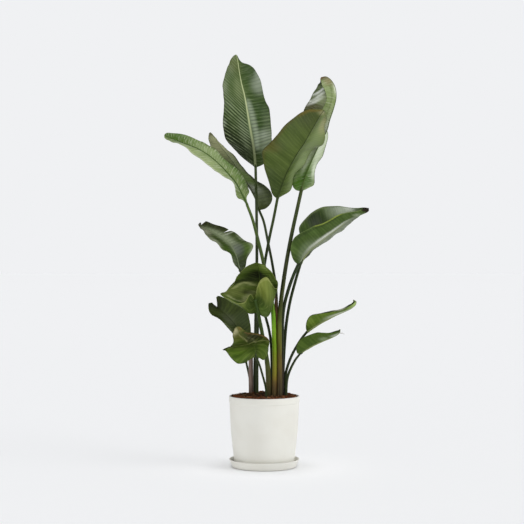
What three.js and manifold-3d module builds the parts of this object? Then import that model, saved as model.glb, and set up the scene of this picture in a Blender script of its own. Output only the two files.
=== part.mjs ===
// Potted bird of paradise without flowers: thirteen long-stalked leaves, a rolled new leaf
// and an old dry sheath stand in soil, in a tapered pot on a saucer.
// Millimetres, +Z up. The origin lies in the middle of the saucer's underside.
// The viewer stands at -Y, so +X is to the right and +Y is away.
import * as THREE from 'three';
import { mergeVertices } from 'three/addons/utils/BufferGeometryUtils.js';
import Module from 'manifold-3d';

const wasm = await Module();
wasm.setup();

// Driving dimensions of the pot, the saucer and the soil
const gap = 0.3;
const roundSides = 48;
const saucerHeight = 32;
const saucerRimRadius = 139.5;
const saucerFootRadius = 127;
const saucerWall = 5;
const saucerFloor = 6;
const potTop = 282;
const potRimRadius = 140;
const potBandHeight = 26;
const potBandStep = 1.6;
const potMiddleRadius = 133;
const potMiddleHeight = 145;
const potLowRadius = 122;
const potLowHeight = 42;
const potFootRadius = 117;
const potWall = 5.5;
const potFloor = 9;
const drainRadius = 12;
const soilEdgeTop = 275;
const soilMiddleTop = 279;
const holeDepth = 52;
const holeSlack = 0.6;
const holeSides = 14;

// Driving dimensions of the leaves
const bladeThickness = 0.8;
const ribDepth = 3;
const stepsPerRow = 2;
const bladeColumns = [-1, -0.6, -0.14, 0, 0.14, 0.6, 1];
const ribColumn = 0.14;
const waveTurn = 2.6;
const stalkSides = 8;
const stalkStep = 62;
const potBottom = saucerFloor + gap;
const stemFoot = soilMiddleTop - holeDepth;
const stemStraight = 18;

// Colours seen on the plant and its pot
const colours = {
  offWhite: '#e2e1d9',
  soil: '#5d3a24',
  deep: '#3f5a38',
  fresh: '#6f9448',
  middle: '#4f6b3c',
  sheath: '#6b5a50',
  spear: '#5b4a2c',
};

// Each leaf grows from its own foot [x, y] in the soil. The stalk points lead from there to the
// blade. A blade row goes from the left margin over the midrib to the right margin, as seen on
// the upper side, and the rows run from the stalk to the tip. Two leaves that are cupped deeply
// also give the middle of each half, so their rows have five points. The arch of a half is how
// far its middle stands off, as a share of its width: above zero towards the upper side.
const leaves = [
  {
    // the tallest leaf, in the middle, with its upper side to the viewer
    name: 'leaf_tall_middle',
    colour: colours.deep,
    foot: [-37, 82],
    footSize: [16, 16],
    stalkSize: 13,
    stalkTop: 11,
    sheathEnd: 0.3,
    arch: [-0.05, -0.07],
    wave: 0.06,
    stalk: [[-37, 82, 380], [-35, 83, 538], [-30, 86, 817], [-31, 91, 1003], [-35, 95, 1196]],
    rows: [
      [[-37, 95, 1196], [-35, 95, 1196], [-32, 95, 1196]],
      [[-72, 86, 1223], [-37, 96, 1214], [-7, 92, 1214]],
      [[-114, 78, 1261], [-39, 98, 1243], [25, 86, 1248]],
      [[-156, 74, 1309], [-46, 101, 1295], [37, 84, 1312]],
      [[-165, 78, 1382], [-58, 107, 1361], [26, 88, 1367]],
      [[-164, 86, 1456], [-72, 114, 1427], [21, 94, 1428]],
      [[-167, 98, 1522], [-84, 124, 1489], [-2, 104, 1488]],
      [[-159, 114, 1577], [-95, 137, 1552], [-26, 120, 1558]],
      [[-144, 132, 1622], [-104, 150, 1605], [-59, 138, 1613]],
      [[-127, 150, 1655], [-110, 160, 1645], [-93, 156, 1638]],
      [[-119, 162, 1663], [-116, 164, 1664], [-112, 164, 1662]],
    ],
  },
  {
    // the young light green leaf at the upper left, folded, with its underside to the viewer
    name: 'leaf_light_left',
    colour: colours.fresh,
    foot: [40, -44],
    footSize: [17, 15],
    stalkSize: 17,
    stalkTop: 11,
    sheathEnd: 0.45,
    arch: [0.04, 0.04],
    wave: 0.06,
    stalk: [[41, -44, 380], [39, -42, 505], [31, -38, 647], [-3, -33, 809], [-23, -32, 893],
      [-47, -36, 983], [-68, -40, 1038]],
    rows: [
      [[-65, -39, 1040], [-68, -40, 1038], [-70, -40, 1037]],
      [[-61, -22, 1061], [-74, -43, 1054], [-100, -24, 1058]],
      [[-58, 8, 1096], [-86, -46, 1077], [-112, -4, 1085]],
      [[-73, 20, 1136], [-110, -51, 1122], [-131, 5, 1133]],
      [[-103, 16, 1174], [-139, -58, 1157], [-168, -5, 1161]],
      [[-142, 5, 1215], [-176, -67, 1196], [-209, -15, 1184]],
      [[-190, -12, 1252], [-219, -80, 1232], [-254, -30, 1219]],
      [[-236, -36, 1284], [-265, -97, 1258], [-300, -52, 1258]],
      [[-287, -76, 1304], [-314, -119, 1275], [-347, -86, 1277]],
      [[-340, -116, 1312], [-354, -138, 1290], [-372, -124, 1285]],
      [[-373, -144, 1313], [-380, -150, 1300], [-386, -146, 1293]],
      [[-383, -155, 1308], [-385, -156, 1304], [-386, -155, 1301]],
    ],
  },
  {
    // the broad leaf in front, with its underside to the viewer and a dry end
    name: 'leaf_broad_front',
    colour: colours.middle,
    foot: [-29, 58],
    footSize: [13, 13],
    stalkSize: 12,
    stalkTop: 11,
    sheathEnd: 0.3,
    arch: [0.03, -0.04],
    wave: 0.07,
    stalk: [[-29, 58, 380], [-26, 52, 560], [-13, 38, 701], [2, 20, 809], [21, -2, 912],
      [38, -17, 991], [52, -30, 1064]],
    rows: [
      [[55, -30, 1065], [52, -30, 1064], [50, -30, 1063]],
      [[82, -14, 1082], [58, -34, 1084], [34, -26, 1078]],
      [[107, 2, 1105], [68, -40, 1113], [18, -28, 1131]],
      [[129, 18, 1166], [83, -50, 1152], [-1, -32, 1190]],
      [[161, 18, 1216], [105, -62, 1196], [-7, -40, 1246]],
      [[194, 6, 1252], [130, -76, 1240], [22, -52, 1282]],
      [[231, -14, 1285], [155, -90, 1276], [67, -66, 1334]],
      [[239, -42, 1324], [180, -106, 1320], [114, -84, 1376]],
      [[242, -78, 1363], [201, -122, 1355], [155, -106, 1402]],
      [[240, -116, 1387], [217, -137, 1382], [189, -128, 1407]],
      [[235, -146, 1397], [230, -148, 1399], [222, -146, 1405]],
    ],
  },
  {
    // the tall leaf at the right, which turns as it rises and ends in a hooked tip
    name: 'leaf_tall_right',
    colour: colours.middle,
    foot: [61, -46],
    footSize: [21, 15],
    stalkSize: 18,
    stalkTop: 12,
    sheathEnd: 0.34,
    arch: [0, 0],
    wave: 0.05,
    stalk: [[60, -46, 380], [58, -44, 466], [63, -36, 623], [80, -22, 762], [105, -4, 904],
      [133, 9, 1032], [147, 15, 1095]],
    rows: [
      [[150, 15, 1095], [147, 15, 1095], [144, 15, 1095]],
      [[179, 25, 1110], [152, 16, 1116], [125, 22, 1101]],
      [[200, 50, 1126], [162, 18, 1150], [114, 32, 1119]],
      [[207, 80, 1185], [180, 21, 1196], [117, 42, 1165]],
      [[235, 100, 1253], [205, 26, 1251], [140, 48, 1231]],
      [[261, 112, 1323], [226, 30, 1295], [167, 48, 1290]],
      [[227, 124, 1373], [244, 34, 1335], [191, 46, 1347]],
      [[166, 118, 1416], [263, 38, 1384], [215, 40, 1394]],
      [[168, 104, 1444], [278, 42, 1428], [237, 34, 1433]],
      [[187, 86, 1477], [288, 44, 1473], [248, 28, 1467]],
      [[203, 66, 1502], [284, 42, 1513], [243, 22, 1495]],
      [[214, 48, 1519], [267, 38, 1542], [232, 18, 1516]],
      [[223, 36, 1533], [247, 30, 1554], [225, 16, 1535]],
      [[224, 26, 1546], [227, 22, 1550], [224, 19, 1546]],
    ],
  },
  {
    // the dark leaf at the back, behind the stalk of the tallest one
    name: 'leaf_dark_back',
    colour: colours.deep,
    foot: [46, -6],
    footSize: [13, 13],
    stalkSize: 12,
    stalkTop: 10,
    sheathEnd: 0.3,
    arch: [-0.05, -0.06],
    wave: 0.05,
    stalk: [[46, -6, 380], [51, 4, 542], [47, 28, 701], [33, 62, 802], [15, 92, 894],
      [-3, 115, 980], [-21, 125, 1024]],
    rows: [
      [[-23, 125, 1025], [-21, 125, 1024], [-18, 124, 1024]],
      [[-42, 122, 1043], [-25, 127, 1041], [8, 117, 1032]],
      [[-49, 117, 1075], [-34, 130, 1068], [30, 108, 1061]],
      [[-74, 114, 1106], [-56, 136, 1111], [25, 104, 1105]],
      [[-115, 118, 1147], [-85, 144, 1160], [-27, 112, 1140]],
      [[-156, 130, 1196], [-116, 154, 1206], [-68, 124, 1177]],
      [[-189, 146, 1242], [-149, 166, 1250], [-105, 142, 1226]],
      [[-218, 164, 1285], [-182, 182, 1293], [-151, 162, 1274]],
      [[-230, 186, 1320], [-205, 198, 1325], [-190, 186, 1312]],
      [[-228, 210, 1347], [-222, 214, 1350], [-214, 210, 1343]],
    ],
  },
  {
    // the leaf at the left with a torn upper half and a slit tip
    name: 'leaf_split_left',
    colour: colours.middle,
    foot: [31, -16],
    footSize: [12, 12],
    stalkSize: 10,
    stalkTop: 9,
    sheathEnd: 0.3,
    arch: [-0.06, -0.06],
    splits: [
      { side: 1, at: 6.45, depth: 0.62, half: 0.22 },
      { side: 1, at: 9.45, depth: 0.8, half: 0.3 },
    ],
    wave: 0.08,
    stalk: [[30, -14, 400], [24, -10, 513], [4, -2, 597], [-37, 8, 694], [-73, 15, 747],
      [-95, 20, 775]],
    rows: [
      [[-97, 19, 775], [-95, 20, 775], [-92, 21, 774]],
      [[-112, 6, 795], [-101, 22, 795], [-75, 38, 797]],
      [[-124, -10, 823], [-108, 26, 825], [-67, 52, 831]],
      [[-143, -20, 848], [-118, 30, 851], [-53, 62, 869]],
      [[-166, -20, 867], [-131, 34, 875], [-49, 66, 890]],
      [[-194, -13, 888], [-151, 38, 896], [-84, 64, 902]],
      [[-214, -3, 905], [-177, 42, 916], [-124, 62, 935]],
      [[-232, 12, 921], [-206, 46, 933], [-154, 60, 951]],
      [[-245, 28, 939], [-230, 50, 946], [-200, 58, 963]],
      [[-258, 42, 951], [-250, 54, 958], [-237, 58, 978]],
      [[-266, 54, 962], [-264, 57, 966], [-261, 58, 970]],
    ],
  },
  {
    // the hooded leaf in front: its floor sags, rises at the back and arches forward
    name: 'leaf_hooded',
    colour: colours.middle,
    foot: [17, -38],
    footSize: [22, 15],
    stalkSize: 15,
    stalkTop: 11,
    sheathEnd: 0.4,
    wave: 0,
    stalk: [[17, -39, 350], [11, -46, 419], [-7, -63, 525], [-25, -100, 618], [-37, -124, 668]],
    rows: [
      [[-41, -125, 671], [-39, -124, 669], [-37, -124, 668], [-35, -125, 672], [-34, -127, 678]],
      [[-54, -132, 689], [-52, -121, 663], [-36, -112, 653], [-19, -119, 665], [-27, -130, 716]],
      [[-75, -142, 666], [-67, -114, 638], [-31, -96, 626], [3, -112, 650], [-13, -124, 745]],
      [[-102, -146, 663], [-81, -104, 644], [-21, -82, 609], [18, -94, 633], [8, -116, 754]],
      [[-137, -141, 681], [-109, -97, 653], [-15, -68, 621], [29, -78, 652], [28, -105, 730]],
      [[-170, -132, 690], [-128, -90, 676], [-13, -58, 660], [39, -68, 680], [41, -97, 711]],
      [[-145, -118, 700], [-117, -82, 709], [-15, -53, 707], [39, -64, 709], [54, -93, 716]],
      [[-125, -106, 722], [-95, -74, 750], [-19, -54, 752], [26, -66, 746], [49, -94, 737]],
      [[-99, -98, 765], [-72, -76, 778], [-23, -64, 786], [7, -74, 774], [31, -96, 771]],
      [[-64, -98, 799], [-48, -86, 799], [-27, -80, 804], [-9, -86, 797], [2, -98, 798]],
      [[-34, -102, 811], [-32, -100, 810], [-30, -98, 809], [-28, -100, 810], [-27, -102, 810]],
    ],
  },
  {
    // the low leaf in front: two lobes droop before it and its dry end stands behind
    name: 'leaf_low_front',
    colour: colours.middle,
    foot: [7, -60],
    footSize: [10, 10],
    stalkSize: 9,
    stalkTop: 8,
    sheathEnd: 0.3,
    wave: 0.02,
    stalk: [[7, -62, 312], [-6, -84, 367], [-21, -122, 419], [-33, -149, 447]],
    rows: [
      [[-36, -150, 445], [-34, -150, 446], [-33, -149, 447], [-32, -150, 446], [-30, -150, 445]],
      [[-52, -151, 439], [-45, -149, 458], [-35, -144, 469], [-23, -148, 458], [-18, -150, 441]],
      [[-77, -151, 423], [-65, -148, 456], [-38, -131, 485], [-11, -145, 471], [-1, -148, 435]],
      [[-100, -151, 420], [-90, -146, 455], [-44, -112, 489], [0, -130, 488], [13, -141, 457]],
      [[-127, -150, 441], [-112, -138, 468], [-50, -95, 487], [-4, -110, 496], [17, -127, 485]],
      [[-149, -146, 467], [-129, -124, 480], [-57, -82, 487], [-13, -92, 504], [19, -107, 507]],
      [[-158, -138, 484], [-130, -106, 485], [-64, -73, 491], [-25, -78, 513], [8, -88, 519]],
      [[-128, -98, 497], [-110, -83, 498], [-74, -65, 503], [-44, -68, 521], [-17, -74, 531]],
      [[-120, -84, 502], [-107, -70, 507], [-86, -59, 517], [-66, -61, 528], [-48, -65, 536]],
      [[-123, -64, 524], [-113, -58, 527], [-98, -54, 536], [-86, -55, 541], [-74, -58, 543]],
      [[-118, -55, 551], [-114, -53, 554], [-108, -52, 558], [-102, -53, 559], [-96, -54, 559]],
    ],
  },
  {
    // the leaf at the right, folded like a boat with its opening up
    name: 'leaf_boat_right',
    colour: colours.deep,
    foot: [70, -26],
    footSize: [15, 15],
    stalkSize: 13,
    stalkTop: 12,
    sheathEnd: 0.3,
    arch: [-0.08, -0.08],
    wave: 0.06,
    stalk: [[70, -26, 380], [70, -24, 484], [74, -20, 623], [92, -16, 702], [115, -11, 763],
      [135, -6, 803]],
    rows: [
      [[137, -6, 803], [135, -6, 803], [133, -6, 803]],
      [[148, 10, 859], [144, -9, 821], [116, -26, 820]],
      [[143, 16, 911], [159, -13, 842], [103, -44, 858]],
      [[142, 20, 955], [183, -18, 866], [116, -54, 902]],
      [[163, 20, 989], [215, -24, 891], [148, -60, 932]],
      [[198, 16, 1013], [248, -30, 916], [187, -64, 950]],
      [[237, 8, 1035], [283, -37, 942], [226, -68, 963]],
      [[283, -4, 1035], [318, -45, 968], [271, -72, 990]],
      [[328, -20, 1029], [351, -54, 989], [316, -76, 1002]],
      [[370, -42, 1025], [380, -63, 1006], [361, -80, 1009]],
      [[396, -62, 1024], [399, -70, 1013], [390, -80, 1015]],
      [[409, -74, 1022], [410, -75, 1018], [407, -77, 1018]],
    ],
  },
  {
    // the leaf close behind it, of which the viewer sees the stalk and the lower edge
    name: 'leaf_behind_right',
    colour: colours.middle,
    foot: [70, -5],
    footSize: [13, 13],
    stalkSize: 12,
    stalkTop: 10,
    sheathEnd: 0.3,
    arch: [-0.06, -0.04],
    wave: 0.06,
    stalk: [[75, -4, 370], [81, -1, 451], [90, 4, 562], [103, 10, 652], [122, 17, 729],
      [144, 24, 803]],
    rows: [
      [[148, 24, 802], [144, 24, 803], [142, 25, 804]],
      [[164, 30, 825], [156, 22, 827], [141, 42, 849]],
      [[181, 33, 844], [173, 19, 850], [144, 54, 893]],
      [[207, 34, 867], [198, 15, 873], [156, 60, 938]],
      [[239, 31, 889], [228, 10, 897], [182, 60, 972]],
      [[273, 24, 912], [260, 4, 921], [218, 54, 998]],
      [[306, 13, 936], [293, -4, 945], [262, 44, 1012]],
      [[337, -2, 966], [326, -14, 968], [303, 27, 1013]],
      [[361, -18, 985], [354, -24, 984], [343, 4, 1008]],
      [[374, -30, 992], [372, -32, 992], [370, -30, 996]],
    ],
  },
  {
    // the upper one of the two small leaves at the right, with a curled tip
    name: 'leaf_small_upper',
    colour: colours.fresh,
    foot: [82, -12],
    footSize: [9, 9],
    stalkSize: 8,
    stalkTop: 7.5,
    sheathEnd: 0.4,
    arch: [-0.08, -0.08],
    wave: 0.05,
    stalk: [[88, -13, 369], [108, -15, 434], [136, -17, 490], [155, -19, 519], [170, -20, 537]],
    rows: [
      [[170, -19, 539], [170, -20, 537], [170, -21, 536]],
      [[171, -8, 557], [180, -21, 543], [165, -31, 550]],
      [[177, 0, 584], [199, -23, 555], [166, -42, 578]],
      [[196, 2, 602], [222, -26, 570], [182, -46, 600]],
      [[227, -2, 611], [252, -30, 586], [214, -47, 611]],
      [[267, -10, 619], [283, -35, 602], [253, -48, 613]],
      [[300, -24, 626], [314, -41, 616], [288, -52, 620]],
      [[326, -38, 639], [341, -48, 629], [323, -57, 632]],
      [[345, -49, 651], [358, -55, 644], [348, -60, 647]],
      [[350, -55, 659], [361, -59, 657], [354, -62, 656]],
      [[348, -60, 662], [350, -62, 664], [351, -63, 660]],
    ],
  },
  {
    // the lower one of the two small leaves at the right
    name: 'leaf_small_lower',
    colour: colours.middle,
    foot: [86, -31],
    footSize: [9, 9],
    stalkSize: 8,
    stalkTop: 7.5,
    sheathEnd: 0.4,
    arch: [-0.08, -0.08],
    wave: 0.05,
    stalk: [[91, -34, 355], [105, -38, 396], [125, -42, 431], [143, -45, 453]],
    rows: [
      [[142, -44, 454], [143, -45, 453], [142, -46, 451]],
      [[142, -34, 471], [154, -46, 461], [130, -57, 454]],
      [[147, -28, 500], [172, -49, 471], [125, -66, 481]],
      [[167, -26, 519], [196, -53, 485], [141, -71, 507]],
      [[193, -30, 529], [221, -58, 497], [171, -74, 526]],
      [[222, -38, 533], [246, -64, 508], [204, -78, 536]],
      [[253, -51, 535], [269, -70, 518], [239, -82, 535]],
      [[278, -65, 542], [288, -76, 529], [271, -85, 538]],
      [[293, -76, 547], [296, -80, 538], [288, -85, 543]],
      [[295, -80, 550], [297, -82, 549], [296, -83, 547]],
    ],
  },
  {
    // the low dark leaf at the left, which ends in two lobes
    name: 'leaf_low_left',
    colour: colours.deep,
    foot: [-56, 95],
    footSize: [9, 9],
    stalkSize: 8,
    stalkTop: 8,
    sheathEnd: 0.3,
    arch: [-0.05, -0.05],
    wave: 0.05,
    stalk: [[-57, 95, 330], [-65, 95, 372], [-74, 95, 412], [-79, 95, 449]],
    rows: [
      [[-81, 94, 449], [-79, 95, 449], [-76, 94, 449]],
      [[-98, 86, 473], [-84, 95, 473], [-64, 84, 476]],
      [[-117, 80, 504], [-92, 95, 505], [-55, 78, 518]],
      [[-136, 76, 535], [-106, 96, 540], [-56, 76, 563]],
      [[-162, 74, 566], [-125, 97, 568], [-64, 76, 601]],
      [[-191, 74, 586], [-147, 99, 592], [-79, 78, 626]],
      [[-213, 78, 604], [-165, 102, 609], [-118, 84, 645]],
      [[-226, 84, 625], [-177, 105, 620], [-155, 92, 664]],
      [[-225, 92, 646], [-188, 108, 628], [-185, 98, 676]],
      [[-211, 98, 650], [-191, 109, 631], [-196, 102, 670]],
    ],
  },
];

// The rolled new leaf and the old dry sheath: a foot, a path and the full widths along it
const newLeaf = {
  foot: [51, -26],
  path: [[51, -27, 430], [49, -28, 545], [47, -29, 592], [45, -30, 635], [42, -31, 680]],
  widths: [[12, 12], [12, 12], [14, 12], [16, 13], [3, 3]],
};
const drySheath = {
  foot: [-53, 66],
  path: [[-54, 66, 360], [-54, 67, 426], [-55, 69, 487]],
  widths: [[19, 13], [17, 11], [7, 3]],
};

const vector = ([x, y, z]) => new THREE.Vector3(x, y, z);

// A smooth curve through points. Whole numbers of t are the points themselves.
function smoothCurve(points) {
  const curve = new THREE.CatmullRomCurve3(points, false, 'centripetal');
  return (t) => curve.getPoint(t / (points.length - 1));
}

// A solid from corner points and triangles, which closes where corners coincide
function solidOf(points, triangles) {
  const geometry = new THREE.BufferGeometry();
  geometry.setFromPoints(points);
  geometry.setIndex(triangles);
  return solidOfGeometry(geometry);
}

function solidOfGeometry(geometry) {
  geometry.deleteAttribute('normal');
  geometry.deleteAttribute('uv');
  const merged = mergeVertices(geometry, 1e-4);
  return new wasm.Manifold(new wasm.Mesh({
    numProp: 3,
    vertProperties: new Float32Array(merged.attributes.position.array),
    triVerts: new Uint32Array(merged.index.array),
  }));
}

function meshOf(name, solid, colour, roughness) {
  const { vertProperties, triVerts } = solid.getMesh();
  const geometry = new THREE.BufferGeometry();
  geometry.setAttribute('position', new THREE.BufferAttribute(new Float32Array(vertProperties), 3));
  geometry.setIndex(new THREE.BufferAttribute(new Uint32Array(triVerts), 1));
  geometry.computeVertexNormals();
  const material = new THREE.MeshStandardMaterial({ color: colour, roughness, metalness: 0 });
  const mesh = new THREE.Mesh(geometry, material);
  mesh.name = name;
  return mesh;
}

// A turned solid from its outline of [radius, height], outside faces out
function turned(outline) {
  const points = outline.map(([radius, height]) => new THREE.Vector2(radius, height));
  const geometry = new THREE.LatheGeometry(points, roundSides);
  geometry.rotateX(Math.PI / 2);
  return solidOfGeometry(geometry);
}

// A closed rod along a path, with an oval section whose full widths are given at each ring
function rod(path, widths) {
  const points = [];
  const triangles = [];
  path.forEach((centre, ring) => {
    const before = path[Math.max(ring - 1, 0)];
    const after = path[Math.min(ring + 1, path.length - 1)];
    const along = after.clone().sub(before).normalize();
    const side = new THREE.Vector3(1, 0, 0).addScaledVector(along, -along.x).normalize();
    const back = along.clone().cross(side);
    for (let i = 0; i < stalkSides; i += 1) {
      const angle = (2 * Math.PI * i) / stalkSides;
      const across = side.clone().multiplyScalar((widths[ring][0] / 2) * Math.cos(angle));
      across.addScaledVector(back, (widths[ring][1] / 2) * Math.sin(angle));
      points.push(centre.clone().add(across));
    }
  });
  for (let ring = 0; ring < path.length - 1; ring += 1) {
    for (let i = 0; i < stalkSides; i += 1) {
      const a = ring * stalkSides + i;
      const b = ring * stalkSides + ((i + 1) % stalkSides);
      triangles.push(a, b, b + stalkSides, a, b + stalkSides, a + stalkSides);
    }
  }
  const last = (path.length - 1) * stalkSides;
  for (let i = 1; i < stalkSides - 1; i += 1) {
    triangles.push(0, i + 1, i, last, last + i, last + i + 1);
  }
  return solidOf(points, triangles);
}

// The points of a stem from the floor of its hole in the soil
function stemPoints(foot, path) {
  const levels = [stemFoot + gap, soilMiddleTop - stemStraight, soilMiddleTop + stemStraight];
  return [...levels.map((z) => vector([...foot, z])), ...path.map(vector)];
}

const mix = (from, to, share) => from + (to - from) * share;
const ease = (share) => share * share * (3 - 2 * share);

// The width of a stalk at a share of its length: an oval sheath, then a round stalk
function stalkWidths(leaf, share) {
  if (share < leaf.sheathEnd) {
    const narrowing = ease(share / leaf.sheathEnd);
    return leaf.footSize.map((width) => mix(width, Math.min(width, leaf.stalkSize), narrowing));
  }
  const rest = (share - leaf.sheathEnd) / (1 - leaf.sheathEnd);
  return leaf.footSize.map((width) => mix(Math.min(width, leaf.stalkSize), leaf.stalkTop, rest));
}

// A stalk runs on into the midrib, unless the blade folds back down where it begins
function stalk(leaf) {
  const points = stemPoints(leaf.foot, leaf.stalk);
  const curve = smoothCurve(points);
  const path = [];
  const widths = [];
  const lengths = points.map((p, i) => (i === 0 ? 0 : p.distanceTo(points[i - 1])));
  const total = lengths.reduce((sum, length) => sum + length, 0);
  let passed = 0;
  for (let i = 0; i < points.length - 1; i += 1) {
    const steps = Math.max(1, Math.round(lengths[i + 1] / stalkStep));
    for (let k = 0; k < steps; k += 1) {
      path.push(curve(i + k / steps));
      widths.push(stalkWidths(leaf, (passed + (lengths[i + 1] * k) / steps) / total));
    }
    passed += lengths[i + 1];
  }
  const end = points.at(-1);
  path.push(end);
  widths.push([leaf.stalkTop, leaf.stalkTop]);
  const rib = vector(leaf.rows[1][(leaf.rows[0].length - 1) / 2]);
  if (rib.clone().sub(end).dot(end.clone().sub(points.at(-2))) > 0) {
    path.push(rib);
    widths.push([ribDepth, ribDepth]);
  }
  return rod(path, widths);
}

// Rows of five points: the middle of each half is worked out from its arch where it isn't given
function fivePointRows(leaf) {
  const rows = leaf.rows.map((row) => row.map(vector));
  if (rows[0].length === 5) return rows;
  return rows.map(([left, midrib, right], i) => {
    const before = rows[Math.max(i - 1, 0)][1];
    const after = rows[Math.min(i + 1, rows.length - 1)][1];
    const along = after.clone().sub(before);
    const middleOf = (from, to, arch) => {
      const across = to.clone().sub(from);
      const up = across.clone().cross(along).normalize();
      return from.clone().lerp(to, 0.5).addScaledVector(up, arch * across.length());
    };
    return [left, middleOf(left, midrib, leaf.arch[0]), midrib, middleOf(midrib, right, leaf.arch[1]), right];
  });
}

// The places of the blade's cross rows, with three close ones at each tear
function rowPlaces(count, splits) {
  const places = [];
  for (let k = 0; k <= (count - 1) * stepsPerRow; k += 1) {
    const place = k / stepsPerRow;
    if (splits.every((split) => Math.abs(place - split.at) > split.half * 1.2)) places.push(place);
  }
  splits.forEach((split) => places.push(split.at - split.half, split.at, split.at + split.half));
  return places.sort((a, b) => a - b);
}

// A point of a half blade, on the parabola through the midrib, its middle and its margin, which
// waves up and down towards the margin
function halfPoint(midrib, middle, margin, share, wave) {
  const point = midrib.clone().multiplyScalar((1 - share) * (1 - 2 * share));
  point.addScaledVector(middle, 4 * share * (1 - share));
  point.addScaledVector(margin, share * (2 * share - 1));
  return point.addScaledVector(wave, share * share);
}

// How far and which way the margin of a half waves, for a height in proportion to its width
function marginWave(from, to, along, height) {
  const up = to.clone().sub(from).cross(along).setLength(from.distanceTo(to));
  return up.multiplyScalar(height);
}

function bladeGrid(leaf) {
  const rows = fivePointRows(leaf);
  const splits = leaf.splits ?? [];
  const curves = rows[0].map((_, column) => smoothCurve(rows.map((row) => row[column])));
  return rowPlaces(rows.length, splits).map((place) => {
    const [left, leftMiddle, midrib, rightMiddle, right] = curves.map((curve) => curve(place));
    const along = curves[2](Math.min(place + 0.5, rows.length - 1)).sub(curves[2](Math.max(place - 0.5, 0)));
    const leftWave = marginWave(left, midrib, along, leaf.wave * Math.sin(waveTurn * place + 1));
    const rightWave = marginWave(midrib, right, along, leaf.wave * Math.sin(waveTurn * place));
    return bladeColumns.map((column) => {
      const cuts = splits.filter((split) => split.side === Math.sign(column));
      const share = cuts.reduce((rest, cut) => {
        const nearness = Math.max(0, 1 - Math.abs(place - cut.at) / cut.half);
        return rest * (1 - cut.depth * nearness);
      }, Math.abs(column));
      if (column < 0) return halfPoint(midrib, leftMiddle, left, share, leftWave);
      return halfPoint(midrib, rightMiddle, right, share, rightWave);
    });
  });
}

// The direction of the upper side at a grid point. The faces to its left and those to its right
// count the same, so that a sharp fold is thickened evenly on both halves.
function upwards(grid, i, j) {
  const sum = new THREE.Vector3();
  for (const column of [j - 1, j]) {
    const side = new THREE.Vector3();
    for (const row of [i - 1, i]) {
      if (row < 0 || column < 0 || row + 1 >= grid.length || column + 1 >= grid[row].length) continue;
      const rising = grid[row + 1][column + 1].clone().sub(grid[row][column]);
      const falling = grid[row + 1][column].clone().sub(grid[row][column + 1]);
      side.add(rising.cross(falling));
    }
    sum.add(side.normalize());
  }
  return sum.normalize();
}

// A thin blade on both sides of the grid, with the midrib as a ridge under it
function blade(leaf) {
  const grid = bladeGrid(leaf);
  const rowCount = grid.length;
  const columnCount = bladeColumns.length;
  const top = [];
  const bottom = [];
  grid.forEach((row, i) => row.forEach((point, j) => {
    const up = upwards(grid, i, j);
    const rib = Math.max(0, 1 - Math.abs(bladeColumns[j]) / ribColumn) * ribDepth;
    const taper = 1 - i / (rowCount - 1);
    top.push(point.clone().addScaledVector(up, bladeThickness / 2));
    bottom.push(point.clone().addScaledVector(up, -bladeThickness / 2 - rib * taper));
  }));
  const triangles = [];
  const quad = (a, b, c, d) => triangles.push(a, b, c, a, c, d);
  const under = top.length;
  for (let i = 0; i < rowCount - 1; i += 1) {
    for (let j = 0; j < columnCount - 1; j += 1) {
      const a = i * columnCount + j;
      const b = a + 1;
      const c = b + columnCount;
      const d = a + columnCount;
      quad(a, b, c, d);
      triangles.push(under + a, under + c, under + b, under + a, under + d, under + c);
    }
    const left = i * columnCount;
    const right = left + columnCount - 1;
    quad(left, left + columnCount, under + left + columnCount, under + left);
    quad(right, under + right, under + right + columnCount, right + columnCount);
  }
  const tip = (rowCount - 1) * columnCount;
  for (let j = 0; j < columnCount - 1; j += 1) {
    quad(j, under + j, under + j + 1, j + 1);
    quad(tip + j, tip + j + 1, under + tip + j + 1, under + tip + j);
  }
  return solidOf([...top, ...bottom], triangles);
}

// The largest body of a solid, without loose scraps or sealed hollows
function wholeBody(solid) {
  return solid.decompose().reduce((a, b) => (b.volume() > a.volume() ? b : a));
}

function leafBody(leaf) {
  return wholeBody(blade(leaf).add(stalk(leaf)));
}

function saucer() {
  return turned([
    [0, 0], [saucerFootRadius - 3, 0], [saucerFootRadius, 2],
    [saucerRimRadius - 1, saucerHeight - 3], [saucerRimRadius, saucerHeight - 1],
    [saucerRimRadius - 1.5, saucerHeight], [saucerRimRadius - saucerWall, saucerHeight - 1],
    [saucerFootRadius - saucerWall, saucerFloor + 3], [saucerFootRadius - saucerWall - 4, saucerFloor],
    [0, saucerFloor],
  ]);
}

function pot() {
  const band = potTop - potBandHeight;
  const bodyTop = potRimRadius - potBandStep;
  return turned([
    [drainRadius, potBottom], [potFootRadius - 2, potBottom], [potFootRadius, potBottom + 2],
    [potLowRadius, potLowHeight], [potMiddleRadius, potMiddleHeight],
    [bodyTop, band - 1], [potRimRadius, band + 1], [potRimRadius, potTop - 2],
    [potRimRadius - 2, potTop], [potRimRadius - potWall + 1, potTop - 1],
    [bodyTop - potWall, band], [potMiddleRadius - potWall, potMiddleHeight],
    [potLowRadius - potWall, potLowHeight], [potFootRadius - potWall, potBottom + potFloor + 4],
    [potFootRadius - potWall - 4, potBottom + potFloor], [drainRadius, potBottom + potFloor],
    [drainRadius, potBottom],
  ]);
}

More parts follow.
